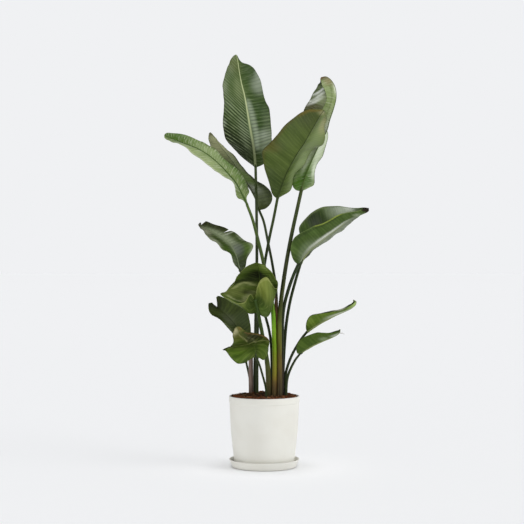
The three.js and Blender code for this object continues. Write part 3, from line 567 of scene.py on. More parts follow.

# %% [markdown]
# ## The leaves as lines of points
# Each leaf grows from its own foot (x, y) in the soil, in millimetres. The stalk points lead from
# there to the blade. A blade row is x, y, z of the left margin, of the midrib and of the right margin,
# as seen on the upper side, and the rows run from the stalk to the tip. Two deeply cupped leaves also
# give the middle of each half. The arch says how far the middle of a half stands off the straight
# line, the wave how far its margin waves up and down, and a split is a tear that runs inwards. The
# points were read off one picture and turned into millimetres outside this script, and how far
# each one lies from the viewer is a guess.

# %% The leaf tables
leaves = [
    # the tallest leaf, in the middle, with its upper side to the viewer
    dict(
        name="leaf_tall_middle", colour="deep", foot=(-37, 82), foot_size=(16, 16), stalk_size=13,
        stalk_top=11, sheath_end=0.3, arch=(-0.05, -0.07), wave=0.06,
        stalk=[(-37, 82, 380), (-35, 83, 538), (-30, 86, 817), (-31, 91, 1003), (-35, 95, 1196)],
        rows=[
            (-37, 95, 1196, -35, 95, 1196, -32, 95, 1196), (-72, 86, 1223, -37, 96, 1214, -3, 91, 1209),
            (-114, 78, 1261, -39, 98, 1243, 25, 86, 1248), (-156, 74, 1309, -46, 101, 1295, 32, 84, 1309),
            (-165, 78, 1382, -58, 107, 1361, 26, 88, 1367), (-164, 86, 1456, -69, 114, 1427, 21, 94, 1428),
            (-167, 98, 1522, -80, 124, 1489, -2, 104, 1488),
            (-159, 114, 1577, -95, 137, 1552, -21, 120, 1566),
            (-144, 132, 1622, -104, 150, 1605, -55, 138, 1614),
            (-127, 150, 1655, -110, 160, 1645, -95, 156, 1634),
            (-119, 162, 1663, -116, 164, 1664, -112, 164, 1662),
        ]),
    # the young light green leaf at the upper left, folded, with its underside to the viewer
    dict(
        name="leaf_light_left", colour="fresh", foot=(40, -44), foot_size=(20, 16), stalk_size=17.5,
        stalk_top=11, sheath_end=0.45, arch=(0.04, 0.04), wave=0.06,
        stalk=[(41, -44, 380), (39, -42, 505), (31, -38, 647), (-3, -33, 809), (-23, -32, 893),
               (-47, -36, 983), (-68, -40, 1038)],
        rows=[
            (-65, -39, 1040, -68, -40, 1038, -70, -40, 1037),
            (-70, -26, 1068, -74, -43, 1054, -84, -38, 1056),
            (-60, 6, 1099, -86, -46, 1077, -104, -14, 1069),
            (-73, 20, 1136, -110, -51, 1122, -129, 4, 1127),
            (-103, 16, 1174, -139, -58, 1157, -168, -5, 1161),
            (-142, 5, 1215, -176, -67, 1196, -209, -15, 1184),
            (-190, -12, 1252, -219, -80, 1232, -254, -30, 1219),
            (-236, -36, 1284, -265, -97, 1258, -300, -52, 1258),
            (-287, -76, 1304, -314, -119, 1275, -347, -86, 1277),
            (-340, -116, 1312, -354, -138, 1290, -372, -124, 1285),
            (-373, -144, 1313, -380, -150, 1300, -386, -146, 1293),
            (-383, -155, 1308, -385, -156, 1304, -386, -155, 1301),
        ]),
    # the broad leaf in front, with its underside to the viewer and a dry end
    dict(
        name="leaf_broad_front", colour="middle", foot=(-29, 58), foot_size=(13, 13), stalk_size=12,
        stalk_top=11, sheath_end=0.3, arch=(0.03, -0.04), wave=0.07,
        stalk=[(-29, 58, 380), (-26, 52, 560), (-13, 38, 701), (2, 20, 809), (21, -2, 912), (38, -17, 991),
               (52, -30, 1064)],
        rows=[
            (55, -30, 1065, 52, -30, 1064, 50, -30, 1063), (82, -14, 1082, 58, -34, 1084, 34, -26, 1078),
            (107, 2, 1105, 68, -40, 1113, 18, -28, 1131), (129, 18, 1166, 83, -50, 1152, -1, -32, 1190),
            (161, 18, 1216, 105, -62, 1196, -7, -40, 1246), (194, 6, 1252, 130, -76, 1240, 22, -52, 1282),
            (231, -14, 1285, 155, -90, 1276, 67, -66, 1334),
            (239, -42, 1324, 180, -106, 1320, 114, -84, 1376),
            (242, -78, 1363, 201, -122, 1355, 155, -106, 1402),
            (240, -116, 1387, 217, -137, 1382, 189, -128, 1407),
            (235, -146, 1397, 230, -148, 1399, 222, -146, 1405),
        ]),
    # the tall leaf at the right, which turns as it rises and ends in a hooked tip
    dict(
        name="leaf_tall_right", colour="middle", foot=(61, -46), foot_size=(21, 15), stalk_size=18,
        stalk_top=14, sheath_end=0.34, arch=(0, 0), wave=0.05,
        stalk=[(61, -46, 380), (60, -44, 466), (63, -36, 623), (80, -22, 762), (105, -4, 904),
               (133, 9, 1032), (147, 15, 1095)],
        rows=[
            (150, 15, 1095, 147, 15, 1095, 144, 15, 1095), (179, 25, 1110, 152, 16, 1116, 125, 22, 1101),
            (200, 50, 1126, 162, 18, 1150, 114, 32, 1119), (207, 80, 1185, 180, 21, 1196, 117, 42, 1165),
            (235, 100, 1253, 205, 26, 1251, 140, 48, 1231), (264, 110, 1328, 226, 30, 1295, 167, 48, 1290),
            (235, 122, 1377, 250, 34, 1337, 191, 46, 1347), (166, 118, 1416, 263, 38, 1384, 215, 40, 1394),
            (168, 104, 1444, 278, 42, 1428, 237, 34, 1433), (187, 86, 1477, 288, 44, 1473, 248, 28, 1467),
            (203, 66, 1502, 284, 42, 1513, 243, 22, 1495), (214, 48, 1519, 267, 38, 1542, 232, 18, 1516),
            (223, 36, 1533, 247, 30, 1554, 225, 16, 1535), (224, 26, 1546, 227, 22, 1550, 224, 19, 1546),
        ]),
    # the dark leaf at the back, behind the stalk of the tallest one
    dict(
        name="leaf_dark_back", colour="deep", foot=(46, -6), foot_size=(13, 13), stalk_size=12,
        stalk_top=10, sheath_end=0.3, arch=(-0.05, -0.06), wave=0.05,
        stalk=[(46, -6, 380), (51, 4, 542), (47, 28, 701), (33, 62, 802), (15, 92, 894), (-3, 115, 980),
               (-21, 125, 1024)],
        rows=[
            (-23, 125, 1025, -21, 125, 1024, -18, 124, 1024),
            (-33, 124, 1050, -25, 127, 1041, 8, 117, 1032), (-42, 119, 1083, -34, 130, 1068, 30, 108, 1061),
            (-66, 116, 1117, -56, 136, 1111, 25, 104, 1105),
            (-115, 118, 1147, -85, 144, 1160, -27, 112, 1140),
            (-156, 130, 1196, -116, 154, 1206, -68, 124, 1177),
            (-189, 146, 1242, -149, 166, 1250, -105, 142, 1226),
            (-218, 164, 1285, -182, 182, 1293, -151, 162, 1274),
            (-230, 186, 1320, -205, 198, 1325, -190, 186, 1312),
            (-228, 210, 1347, -222, 214, 1350, -214, 210, 1343),
        ]),
    # the leaf at the left with a torn upper half and a slit tip
    dict(
        name="leaf_split_left", colour="middle", foot=(31, -16), foot_size=(14, 12), stalk_size=11.5,
        stalk_top=9.5, sheath_end=0.3, arch=(-0.06, -0.06), wave=0.08,
        splits=[dict(side=1, at=6.45, depth=0.62, half=0.13), dict(side=1, at=9.35, depth=0.93, half=0.4)],
        stalk=[(30, -14, 400), (24, -10, 513), (4, -2, 597), (-37, 8, 694), (-73, 15, 747), (-95, 20, 775)],
        rows=[
            (-97, 19, 775, -95, 20, 775, -92, 21, 774), (-112, 6, 795, -101, 22, 795, -75, 38, 797),
            (-124, -10, 823, -108, 26, 825, -67, 52, 831), (-143, -20, 848, -118, 30, 851, -47, 62, 870),
            (-166, -20, 867, -131, 34, 875, -49, 66, 890), (-194, -13, 888, -151, 38, 896, -84, 64, 902),
            (-214, -3, 905, -177, 42, 916, -124, 62, 935), (-232, 12, 921, -206, 46, 933, -154, 60, 951),
            (-245, 28, 939, -230, 50, 946, -200, 58, 963), (-258, 42, 951, -250, 54, 958, -237, 58, 978),
            (-266, 54, 962, -264, 57, 966, -261, 58, 970),
        ]),
    # the hooded leaf in front: its floor sags, rises at the back and arches forward
    dict(
        name="leaf_hooded", colour="middle", foot=(17, -38), foot_size=(26, 16), stalk_size=15,
        stalk_top=11, sheath_end=0.7, wave=0,
        stalk=[(17, -39, 350), (11, -46, 419), (-7, -63, 525), (-25, -100, 618), (-37, -124, 668)],
        rows=[
            (-41, -125, 671, -39, -124, 669, -37, -124, 668, -35, -125, 672, -34, -127, 678),
            (-54, -132, 689, -52, -121, 663, -36, -112, 653, -19, -119, 665, -27, -130, 716),
            (-75, -142, 658, -62, -114, 614, -31, -96, 622, 5, -112, 640, -13, -124, 745),
            (-102, -146, 652, -79, -104, 630, -21, -82, 609, 23, -94, 617, 8, -116, 754),
            (-137, -141, 670, -109, -97, 648, -15, -68, 621, 32, -78, 642, 28, -105, 730),
            (-170, -132, 690, -128, -90, 676, -13, -58, 660, 39, -68, 680, 41, -97, 711),
            (-145, -118, 700, -117, -82, 709, -15, -53, 707, 39, -64, 709, 54, -93, 716),
            (-125, -106, 722, -95, -74, 750, -19, -54, 752, 26, -66, 746, 49, -94, 737),
            (-99, -98, 765, -72, -76, 778, -23, -64, 786, 7, -74, 774, 31, -96, 771),
            (-64, -98, 799, -48, -86, 799, -27, -80, 804, -9, -86, 797, 2, -98, 798),
            (-34, -102, 811, -32, -100, 810, -30, -98, 809, -28, -100, 810, -27, -102, 810),
        ]),
    # the low leaf in front: two lobes droop before it and its dry end stands behind
    dict(
        name="leaf_low_front", colour="middle", foot=(7, -60), foot_size=(10, 10), stalk_size=9,
        stalk_top=8, sheath_end=0.3, wave=0.02,
        stalk=[(7, -62, 312), (-6, -84, 367), (-21, -122, 419), (-33, -149, 447)],
        rows=[
            (-36, -150, 445, -34, -150, 446, -33, -149, 447, -32, -150, 446, -30, -150, 445),
            (-52, -151, 439, -45, -149, 458, -35, -144, 469, -23, -148, 458, -18, -150, 441),
            (-77, -151, 423, -65, -148, 456, -38, -131, 485, -11, -145, 471, -1, -148, 435),
            (-100, -151, 420, -90, -146, 455, -44, -112, 489, 0, -130, 488, 13, -141, 457),
            (-127, -150, 441, -112, -138, 468, -50, -95, 487, -4, -110, 496, 17, -127, 485),
            (-149, -146, 467, -129, -124, 480, -57, -82, 487, -13, -92, 504, 19, -107, 507),
            (-161, -138, 474, -130, -106, 480, -64, -73, 491, -25, -78, 513, 8, -88, 519),
            (-131, -98, 485, -110, -83, 494, -74, -65, 503, -44, -68, 521, -17, -74, 531),
            (-122, -84, 498, -107, -70, 507, -86, -59, 517, -66, -61, 528, -48, -65, 536),
            (-123, -64, 524, -113, -58, 527, -98, -54, 536, -86, -55, 541, -74, -58, 543),
            (-118, -55, 551, -114, -53, 554, -108, -52, 558, -102, -53, 559, -96, -54, 559),
        ]),
    # the leaf at the right, folded like a boat with its opening up
    dict(
        name="leaf_boat_right", colour="deep", foot=(70, -26), foot_size=(19, 14), stalk_size=15,
        stalk_top=13, sheath_end=0.3, arch=(-0.08, -0.08), wave=0.06,
        stalk=[(70, -26, 380), (70, -24, 484), (76, -20, 623), (95, -16, 702), (117, -11, 763),
               (135, -6, 803)],
        rows=[
            (137, -6, 803, 135, -6, 803, 133, -6, 803), (148, 10, 859, 144, -9, 821, 116, -26, 820),
            (143, 16, 911, 159, -13, 842, 103, -44, 858), (142, 20, 955, 183, -18, 866, 116, -54, 902),
            (163, 20, 989, 215, -24, 891, 148, -60, 932), (198, 16, 1013, 248, -30, 916, 187, -64, 950),
            (237, 8, 1035, 283, -37, 942, 226, -68, 963), (283, -4, 1035, 318, -45, 968, 271, -72, 990),
            (328, -20, 1030, 353, -54, 987, 316, -76, 1004),
            (370, -42, 1027, 385, -63, 1001, 361, -80, 1014),
            (394, -60, 1027, 403, -70, 1009, 390, -80, 1020),
            (409, -72, 1025, 410, -75, 1015, 407, -77, 1021),
        ]),
    # the leaf close behind it, of which the viewer sees the stalk and the lower edge
    dict(
        name="leaf_behind_right", colour="middle", foot=(70, -5), foot_size=(14, 13), stalk_size=13.5,
        stalk_top=11, sheath_end=0.3, arch=(-0.06, -0.04), wave=0.02,
        stalk=[(74, -4, 370), (78, -1, 451), (87, 4, 562), (102, 10, 652), (122, 17, 729), (144, 24, 803)],
        rows=[
            (148, 24, 802, 144, 24, 803, 142, 25, 804), (164, 30, 825, 156, 22, 827, 141, 42, 849),
            (181, 33, 844, 173, 19, 850, 144, 54, 893), (207, 34, 867, 198, 15, 873, 156, 60, 938),
            (239, 31, 889, 228, 10, 897, 182, 60, 972), (273, 24, 912, 260, 4, 921, 218, 54, 998),
            (306, 13, 936, 293, -4, 945, 262, 44, 1012), (338, -2, 962, 326, -14, 973, 303, 27, 1013),
            (360, -18, 982, 351, -24, 991, 341, 4, 1008), (378, -30, 996, 377, -32, 997, 376, -30, 1000),
        ]),
    # the upper one of the two small leaves at the right, with a curled tip
    dict(
        name="leaf_small_upper", colour="fresh", foot=(82, -12), foot_size=(12, 12), stalk_size=11,
        stalk_top=10, sheath_end=0.4, arch=(-0.08, -0.08), wave=0.05,
        stalk=[(85, -13, 369), (105, -15, 434), (135, -17, 490), (155, -19, 519), (170, -20, 537)],
        rows=[
            (170, -19, 539, 170, -20, 537, 170, -21, 536), (171, -8, 557, 180, -21, 543, 165, -31, 550),
            (177, 0, 584, 199, -23, 555, 166, -42, 578), (196, 2, 602, 222, -26, 570, 182, -46, 600),
            (227, -2, 611, 252, -30, 586, 214, -47, 611), (267, -10, 619, 283, -35, 602, 253, -48, 613),
            (300, -24, 626, 314, -41, 616, 288, -52, 620), (326, -38, 639, 341, -48, 629, 323, -57, 632),
            (345, -49, 651, 358, -55, 644, 348, -60, 647), (350, -55, 659, 361, -59, 657, 354, -62, 656),
            (348, -60, 662, 350, -62, 664, 351, -63, 660),
        ]),
    # the lower one of the two small leaves at the right
    dict(
        name="leaf_small_lower", colour="middle", foot=(86, -31), foot_size=(12, 12), stalk_size=11.5,
        stalk_top=8.5, sheath_end=0.4, arch=(-0.08, -0.08), wave=0.05,
        stalk=[(91, -34, 355), (106, -38, 396), (125, -42, 431), (143, -45, 453)],
        rows=[
            (142, -44, 454, 143, -45, 453, 142, -46, 451), (142, -34, 471, 154, -46, 461, 130, -57, 454),
            (147, -28, 500, 172, -49, 471, 125, -66, 481), (167, -26, 519, 196, -53, 485, 141, -71, 507),
            (193, -30, 529, 221, -58, 497, 171, -74, 526), (222, -38, 533, 246, -64, 508, 204, -78, 536),
            (253, -51, 535, 269, -70, 518, 239, -82, 535), (278, -65, 542, 288, -76, 529, 271, -85, 538),
            (293, -76, 547, 296, -80, 538, 288, -85, 543), (295, -80, 550, 297, -82, 549, 296, -83, 547),
        ]),
    # the low dark leaf at the left, which ends in two lobes
    dict(
        name="leaf_low_left", colour="deep", foot=(-56, 95), foot_size=(11, 11), stalk_size=10, stalk_top=8,
        sheath_end=0.3, arch=(-0.05, -0.05), wave=0.05,
        stalk=[(-57, 95, 330), (-65, 95, 372), (-74, 95, 412), (-79, 95, 449)],
        rows=[
            (-81, 94, 449, -79, 95, 449, -76, 94, 449), (-98, 86, 473, -84, 95, 473, -64, 84, 476),
            (-117, 80, 504, -92, 95, 505, -55, 78, 518), (-136, 76, 535, -106, 96, 540, -56, 76, 563),
            (-162, 74, 566, -125, 97, 568, -64, 76, 601), (-191, 74, 586, -147, 99, 592, -79, 78, 626),
            (-213, 78, 604, -165, 102, 609, -118, 84, 645), (-226, 84, 625, -177, 105, 620, -155, 92, 664),
            (-225, 92, 646, -188, 108, 628, -185, 98, 676), (-211, 98, 650, -191, 109, 631, -196, 102, 670),
        ]),
]
print(len(leaves), "leaves")

# %% [markdown]
# ## How one leaf is built
# A leaf of this plant is a long stalk that runs on as a strong midrib, with a thin blade on either
# side. The blade is a sheet through curves: one along the left margin, one along the midrib, one
# along the right margin, and one through the middle of each half, which says how far it is cupped. A
# dense grid over that sheet leaves room for the things that make it a leaf: the ridge under the
# midrib, the shallow channel above it, the pleats between the side veins and the wavy margin.

# %% Distances and directions along a line of points
def lengths(vectors):
    return np.linalg.norm(vectors, axis=-1, keepdims=True)


def unit(vectors):
    return vectors / np.maximum(lengths(vectors), 1e-12)


def gaps(points):
    """The distance from each point to the next one."""
    return lengths(np.diff(points, axis=0))[:, 0]


def running(steps):
    """How far along each point is, given the steps between them."""
    return np.concatenate([[0], np.cumsum(steps)])


def heading(points):
    """The direction of a line at each of its points, not yet of length one."""
    return np.vstack([points[1:2] - points[:1], points[2:] - points[:-2], points[-1:] - points[-2:-1]])


# %% A smooth curve through points
def smooth_curve(points):
    """A curve through points, where whole numbers are the points themselves."""
    points = np.asarray(points, float)
    ends = np.vstack([2 * points[0] - points[1], points, 2 * points[-1] - points[-2]])

    def at(places):
        places = np.clip(np.atleast_1d(np.asarray(places, float)), 0, len(points) - 1)
        first = np.minimum(places.astype(int), len(points) - 2)
        share = (places - first)[:, None]
        p0, p1, p2, p3 = (ends[first + k] for k in range(4))
        d0, d1, d2 = (np.sqrt(lengths(b - a)) for a, b in ((p0, p1), (p1, p2), (p2, p3)))
        d1 = np.where(d1 < 1e-4, 1.0, d1)
        d0, d2 = (np.where(d < 1e-4, d1, d) for d in (d0, d2))
        start = ((p1 - p0) / d0 - (p2 - p0) / (d0 + d1) + (p2 - p1) / d1) * d1
        end = ((p2 - p1) / d1 - (p3 - p1) / (d1 + d2) + (p3 - p2) / d2) * d1
        return (p1 + start * share + (3 * (p2 - p1) - 2 * start - end) * share ** 2
                + (2 * (p1 - p2) + start + end) * share ** 3)

    return at


# %% Rows and the sheet through them
ROW_SPACING = 3.4
RIB_COLUMNS = np.array([0, 0.3, 0.55, 0.78, 1.0, 1.35])
OUTER_COLUMNS = 1 - (1 - np.linspace(0, 1, 17)[1:]) ** 1.25
MOST_FOR_RIB, LEAST_OUTER = 0.5, 0.02


def five_point_rows(leaf):
    """The rows of a leaf, with the middle of each half worked out from its arch."""
    rows = np.array(leaf["rows"], float).reshape(len(leaf["rows"]), -1, 3)
    if rows.shape[1] == 5:
        return rows
    left, midrib, right = rows.transpose(1, 0, 2)
    along = heading(midrib)

    def middle(start, end, arch):
        across = end - start
        return (start + end) / 2 + unit(np.cross(across, along)) * arch * lengths(across)

    return np.stack([left, middle(left, midrib, leaf["arch"][0]), midrib,
                     middle(midrib, right, leaf["arch"][1]), right], axis=1)


def even_places(curves, last):
    """Places on the curves whose rows are evenly spaced where the blade is longest."""
    probe = np.linspace(0, last, 50 * last + 1)
    travelled = running(np.max([gaps(curve(probe)) for curve in curves], axis=0))
    count = int(travelled[-1] / ROW_SPACING)
    return np.interp(np.linspace(0, travelled[-1], count + 1), travelled, probe)


def half_shares(half, rib, cut):
    """Where the columns of one half lie, from the midrib at 0 to the margin at 1, row by row."""
    evenly = MOST_FOR_RIB * np.arange(6) / 5
    inner = np.minimum(RIB_COLUMNS * rib / np.maximum(half, 1e-6), evenly)
    start = inner[:, -1:]
    return np.hstack([inner, start + (np.maximum(cut, start + LEAST_OUTER) - start) * OUTER_COLUMNS])


def half_points(midrib, middle, margin, wave, shares):
    """Points of one half, on the parabola through the midrib, its middle and its margin."""
    a = shares[..., None]
    midrib, middle, margin, wave = (p[:, None] for p in (midrib, middle, margin, wave))
    return (midrib * (1 - a) * (1 - 2 * a) + middle * 4 * a * (1 - a) + margin * a * (2 * a - 1)
            + wave * a ** 2)


# %% Which way is up on the sheet
def upwards(grid):
    """The direction of the upper side at every grid point. Both halves count the same."""
    rising = grid[1:, 1:] - grid[:-1, :-1]
    falling = grid[1:, :-1] - grid[:-1, 1:]
    faces = np.cross(rising, falling)
    tall = np.zeros((grid.shape[0], grid.shape[1] - 1, 3))
    tall[:-1] += faces
    tall[1:] += faces
    tall = unit(tall)
    total = np.zeros_like(grid)
    total[:, :-1] += tall
    total[:, 1:] += tall
    return unit(total)


# %% The pleats between the side veins
FULL_TURN = 6.283
BEAT_SWING, BEAT_DRIFT = 1.1, 52.0
FLAT_BY_RIB, FLAT_ENDS = 14, 0.06


def pleats(look, vein, far, across, share):
    """How far the sheet is lifted by its pleats and, towards the margin, by slow ripples."""
    phases = np.random.default_rng(look["seed"]).uniform(0, 6.28, 5)

    def waves(half_shift, *sizes):
        return sum(height * np.sin(FULL_TURN * vein / length + phases[which] + (far > 0) * half_shift)
                   for height, length, which in sizes)

    beat = FULL_TURN * vein * MM / look["veins"] + BEAT_SWING * np.sin(vein * MM * BEAT_DRIFT)
    pleat = look["fold_height"] * np.cos(beat) + waves(1.7, (0.25, 11.3, 1), (0.6, 41.0, 2))
    ripple = waves(2.4, (1.0, 55.0, 3), (1.5, 83.0, 4))
    flat = np.clip(np.abs(far) / FLAT_BY_RIB, 0, 1)
    ends = np.clip(np.minimum(share, 1 - share)[:, None] / FLAT_ENDS, 0, 1)
    return (pleat * flat * (1 - 0.5 * across) + ripple * across ** 2.2) * ends


# %% The whole blade as arrays
BLADE, RIB_TIP = 0.8, 0.9
RIB_SLIM_FROM, RIB_SLIM = 0.12, 0.42
RIDGE, CHANNEL, CHANNEL_WIDTH = 0.95, 0.16, 0.55
WAVE_TURN = 2.6
VEIN_BEND = 0.25


def blade_arrays(leaf, look):
    """Both sides of a blade as grids of points, and what its finish and its stalk need to know."""
    rows = five_point_rows(leaf)
    last = len(rows) - 1
    curves = [smooth_curve(rows[:, column]) for column in range(5)]
    places = even_places(curves[::2], last)
    left, left_middle, midrib, right_middle, right = (curve(places) for curve in curves)
    along = curves[2](np.minimum(places + 0.5, last)) - curves[2](np.maximum(places - 0.5, 0))
    run = running(gaps(midrib))
    share = run / run[-1]
    width = leaf["stalk_top"]
    rib = np.interp(share, [0, RIB_SLIM_FROM, 1],
                    [width / 2, width * RIB_SLIM * look["slim"], RIB_TIP])[:, None]
    halves = []
    for side, margin, middle in ((-1, left, left_middle), (1, right, right_middle)):
        reach = lengths(margin - midrib)
        turn = (WAVE_TURN * places + (side < 0))[:, None]
        lift = unit(np.cross((midrib - margin) * -side, along))
        wave = lift * reach * leaf["wave"] * np.sin(turn)
        cut = np.ones((len(places), 1))
        for split in leaf.get("splits", []):
            if split["side"] == side:
                near = np.maximum(0, 1 - np.abs(places - split["at"]) / split["half"])
                cut *= (1 - split["depth"] * near)[:, None]
        shares = half_shares(reach, rib, cut)
        halves.append((half_points(midrib, middle, margin, wave, shares), shares * side,
                       shares * reach * side))
    grid, sides, far = (np.hstack([first[:, ::-1], second[:, 1:]]) for first, second in zip(*halves))
    across = np.abs(sides)
    lean = np.where(far < 0, *look["lean"])
    vein = run[:, None] - lean * np.abs(far) * (1 - VEIN_BEND * across)
    grid = grid + upwards(grid) * pleats(look, vein, far, across, share)[..., None]
    up = upwards(grid)
    ridge = np.sqrt(np.maximum(0, 1 - (far / rib) ** 2)) * rib * RIDGE
    channel = np.exp(-(far / (CHANNEL_WIDTH * rib)) ** 2) * rib * CHANNEL
    top = grid + up * (BLADE / 2 - channel)[..., None]
    under = grid - up * (BLADE / 2 + ridge)[..., None]
    return dict(top=top, under=under, far=far, vein=vein, across=across, places=places, rib=rib,
                share=np.broadcast_to(share[:, None], far.shape), midrib=midrib,
                up=up[:, far.shape[1] // 2])


# %% [markdown]
# ## Tones and painted light that belong to one place
# A leaf is not evenly green. A dry end or a brown margin belongs to one place on one leaf. Many
# patches are painted light instead: most pale ones are painted sheen, highlights and light shining
# through, and most of the darkest ones are painted shade in hollows and creases. They are laid on as
# colour where the soft light here leaves them too plain, so they stay put when the light changes.
# Such a tone is a soft patch, given in percent by its place along the leaf, its place across from
# -100 at the left margin to 100 at the right one and its reach both ways, then by its colour and its
# strength in percent. The patches are laid over each other and kept on the mesh as one colour.

# %% Soft patches of colour
MARK_SPACING = 0.8


def soft(side, *patches):
    """Patches that lie on the upper side, on the under side or on both."""
    return [(side, *(size / 100 for size in sizes), screen(*colour), strength / 100)
            for *sizes, colour, strength in patches]


def stroke(side, places, reach, reach_across, colour, strength):
    """A row of patches through places given as (along, across)."""
    places = np.array(places) / 100
    reaches = reach / 100, reach_across / 100
    run = running(np.hypot(*(np.diff(places, axis=0) / reaches).T))
    marks = np.linspace(0, run[-1], int(run[-1] / MARK_SPACING) + 2)
    return [(side, *(np.interp(mark, run, places[:, i]) for i in (0, 1)), *reaches,
             screen(*colour), strength / 100) for mark in marks]


def tone(shares, sides, patches, which):
    """The colour and strength of all patches for one side of the blade, point by point."""
    colour = np.zeros((*shares.shape, 3))
    cover = np.zeros(shares.shape)
    for side, place, across, reach, reach_across, patch, strength in patches:
        if side in (which, "both"):
            near = ((shares - place) / reach) ** 2 + ((sides - across) / reach_across) ** 2
            weight = strength * np.exp(-near ** 1.5)
            colour = colour * (1 - weight[..., None]) + np.array(patch) * weight[..., None]
            cover = cover * (1 - weight) + weight
    return np.concatenate([colour / np.maximum(cover, 1e-6)[..., None], cover[..., None]], -1)


# %% A closed shell from the two sides
def shell_faces(rows, columns):
    """The quads of a thin shell: an upper sheet, an under sheet and a rim between them."""
    index = np.arange(rows * columns).reshape(rows, columns)
    a, b, c, d = index[:-1, :-1], index[:-1, 1:], index[1:, 1:], index[1:, :-1]
    below = rows * columns
    rim = np.concatenate([index[:, 0], index[-1, 1:], index[-2::-1, -1], index[0, -2:0:-1]])
    ahead = np.roll(rim, -1)
    return np.vstack([np.stack([a, b, c, d], -1).reshape(-1, 4),
                      np.stack([a, d, c, b], -1).reshape(-1, 4) + below,
                      np.stack([rim, ahead, ahead + below, rim + below], -1)])


def blade_mesh(name, parts, look):
    """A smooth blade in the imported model's box, which carries what its finish needs."""
    mesh = bpy.data.meshes.new(name)
    points = np.vstack([parts["top"].reshape(-1, 3), parts["under"].reshape(-1, 3)])
    points = np.clip(points * MM, cad_low, cad_high)
    mesh.from_pydata(points.tolist(), [], shell_faces(*parts["far"].shape).tolist())
    vein = np.stack([parts["far"] * MM, parts["vein"] * MM, parts["share"]], -1)
    flags = (np.zeros_like(parts["across"]), np.ones_like(parts["across"]))
    skin = [np.stack([parts["across"], flag, flags[0]], -1) for flag in flags]
    carry(mesh, "FLOAT_VECTOR", "vector", vein=[vein, vein], skin=skin)
    sides = parts["across"] * np.sign(parts["far"])
    carry(mesh, "FLOAT_COLOR", "color",
          tone=[tone(parts["share"], sides, look["patches"], side) for side in ("upper", "under")])
    mesh.shade_smooth()
    return mesh


# %% [markdown]
# ## Stalks
# A stalk starts as a flat sheath that clasps its neighbours, becomes almost round, and has a shallow
# channel on the side that faces the middle of the plant. It follows a path, so the loft tree makes it.

# %% The rail of a stalk
STEM_LEVELS = (227.3, 261, 297)
RUNS_ON_FROM, RUNS_ON_TO = 0.15, 1.0
RUNS_ON_DEPTH, RUNS_ON_END = 0.55, 0.3
STALK_GROOVE = 0.16


def tube(name, path, sizes, finish, near=(1.0, 0.0, 0.0), **settings):
    """A tube along a path, with two widths at each point. One width lies nearest to a direction."""
    along = unit(heading(path))
    side = unit(near - along * (along @ near)[:, None])
    rail = rail_mesh(path * MM, sizes[:, 0] * MM, sizes[:, 1] * MM, side, np.cross(along, side))
    return grown(name, rail, LOFT, Finish=finish, **settings)


def stem_path(foot, path, spacing=9):
    """A fine path from the hole in the soil on, how far along each point is, and each given point."""
    points = np.array([(*foot, level) for level in STEM_LEVELS] + list(path), float)
    between = gaps(points)
    counts = np.maximum(2, np.round(between / spacing).astype(int))
    places = np.concatenate([i + np.arange(n) / n for i, n in enumerate(counts)] + [[len(between)]])
    given = running(between)
    travelled = np.interp(places, np.arange(len(points)), given)
    return smooth_curve(points)(places), travelled / given[-1], given / given[-1]


def stalk_mesh(leaf, parts, finish):
    """A stalk that narrows from its sheath on and runs out under the midrib of its blade."""
    path, share, _ = stem_path(leaf["foot"], leaf["stalk"])
    foot_size = np.array(leaf["foot_size"], float)
    narrow = np.minimum(foot_size, leaf["stalk_size"])
    sheath = leaf["sheath_end"]
    low = ease(np.clip(share / sheath, 0, 1))[:, None]
    high = np.clip((share - sheath) / (1 - sheath), 0, 1)[:, None]
    sizes = foot_size + (narrow - foot_size) * low
    sizes = sizes + (leaf["stalk_top"] - sizes) * high
    after = (parts["places"] > RUNS_ON_FROM) & (parts["places"] < RUNS_ON_TO)
    rib = parts["midrib"][after] - parts["up"][after] * (parts["rib"][after] * RUNS_ON_DEPTH)
    if after.any() and (rib[-1] - path[-1]) @ (path[-1] - path[-2]) > 0:
        fade = np.linspace(1, RUNS_ON_END, len(rib))[:, None]
        path = np.vstack([path, rib])
        sizes = np.vstack([sizes, leaf["stalk_top"] * fade * np.ones(2)])
    return tube(leaf["name"] + "_stalk", path, sizes, finish, Sides=20, Groove=STALK_GROOVE)


def thread_mesh(name, points, finish):
    """A dry thread that hangs from a tip."""
    path = smooth_curve(points)(np.linspace(0, len(points) - 1, 16))
    thin = np.linspace((2.4, 2.4), (0.8, 0.8), len(path))
    return tube(name, path, thin, finish, (0.0, 1.0, 0.0), Sides=8)


# %% Joining blade and stalk into one piece
def joined(name, meshes):
    """One mesh out of several, each with its own finish."""
    objects = [put(name, mesh) for mesh in meshes]
    with bpy.context.temp_override(active_object=objects[0], object=objects[0],
                                   selected_objects=objects, selected_editable_objects=objects):
        bpy.ops.object.join()
    mesh = objects[0].data
    bpy.data.objects.remove(objects[0])
    mesh.name = name
    return mesh


# %% [markdown]
# ## What a leaf is covered with
# The upper side is dark green, smooth and waxy, so it mirrors the bright room in soft bands. The under
# side is lighter and more matt. Hair-thin veins leave the midrib at a steep angle, every few
# millimetres one is stronger, and the sheet between them is a little folded. The grooves of these
# folds are painted darker as shade, and the stronger veins and fine streaks are pale, partly as veins
# and partly as painted sheen on the crests. The midrib is pale, the margin is a thin dark or dry line.
# Each blade point knows its distance from the midrib and its place along the veins, so the pattern
# follows the leaf however it bends.

# %% The finish of a blade
FINE_VEINS = 0.0016


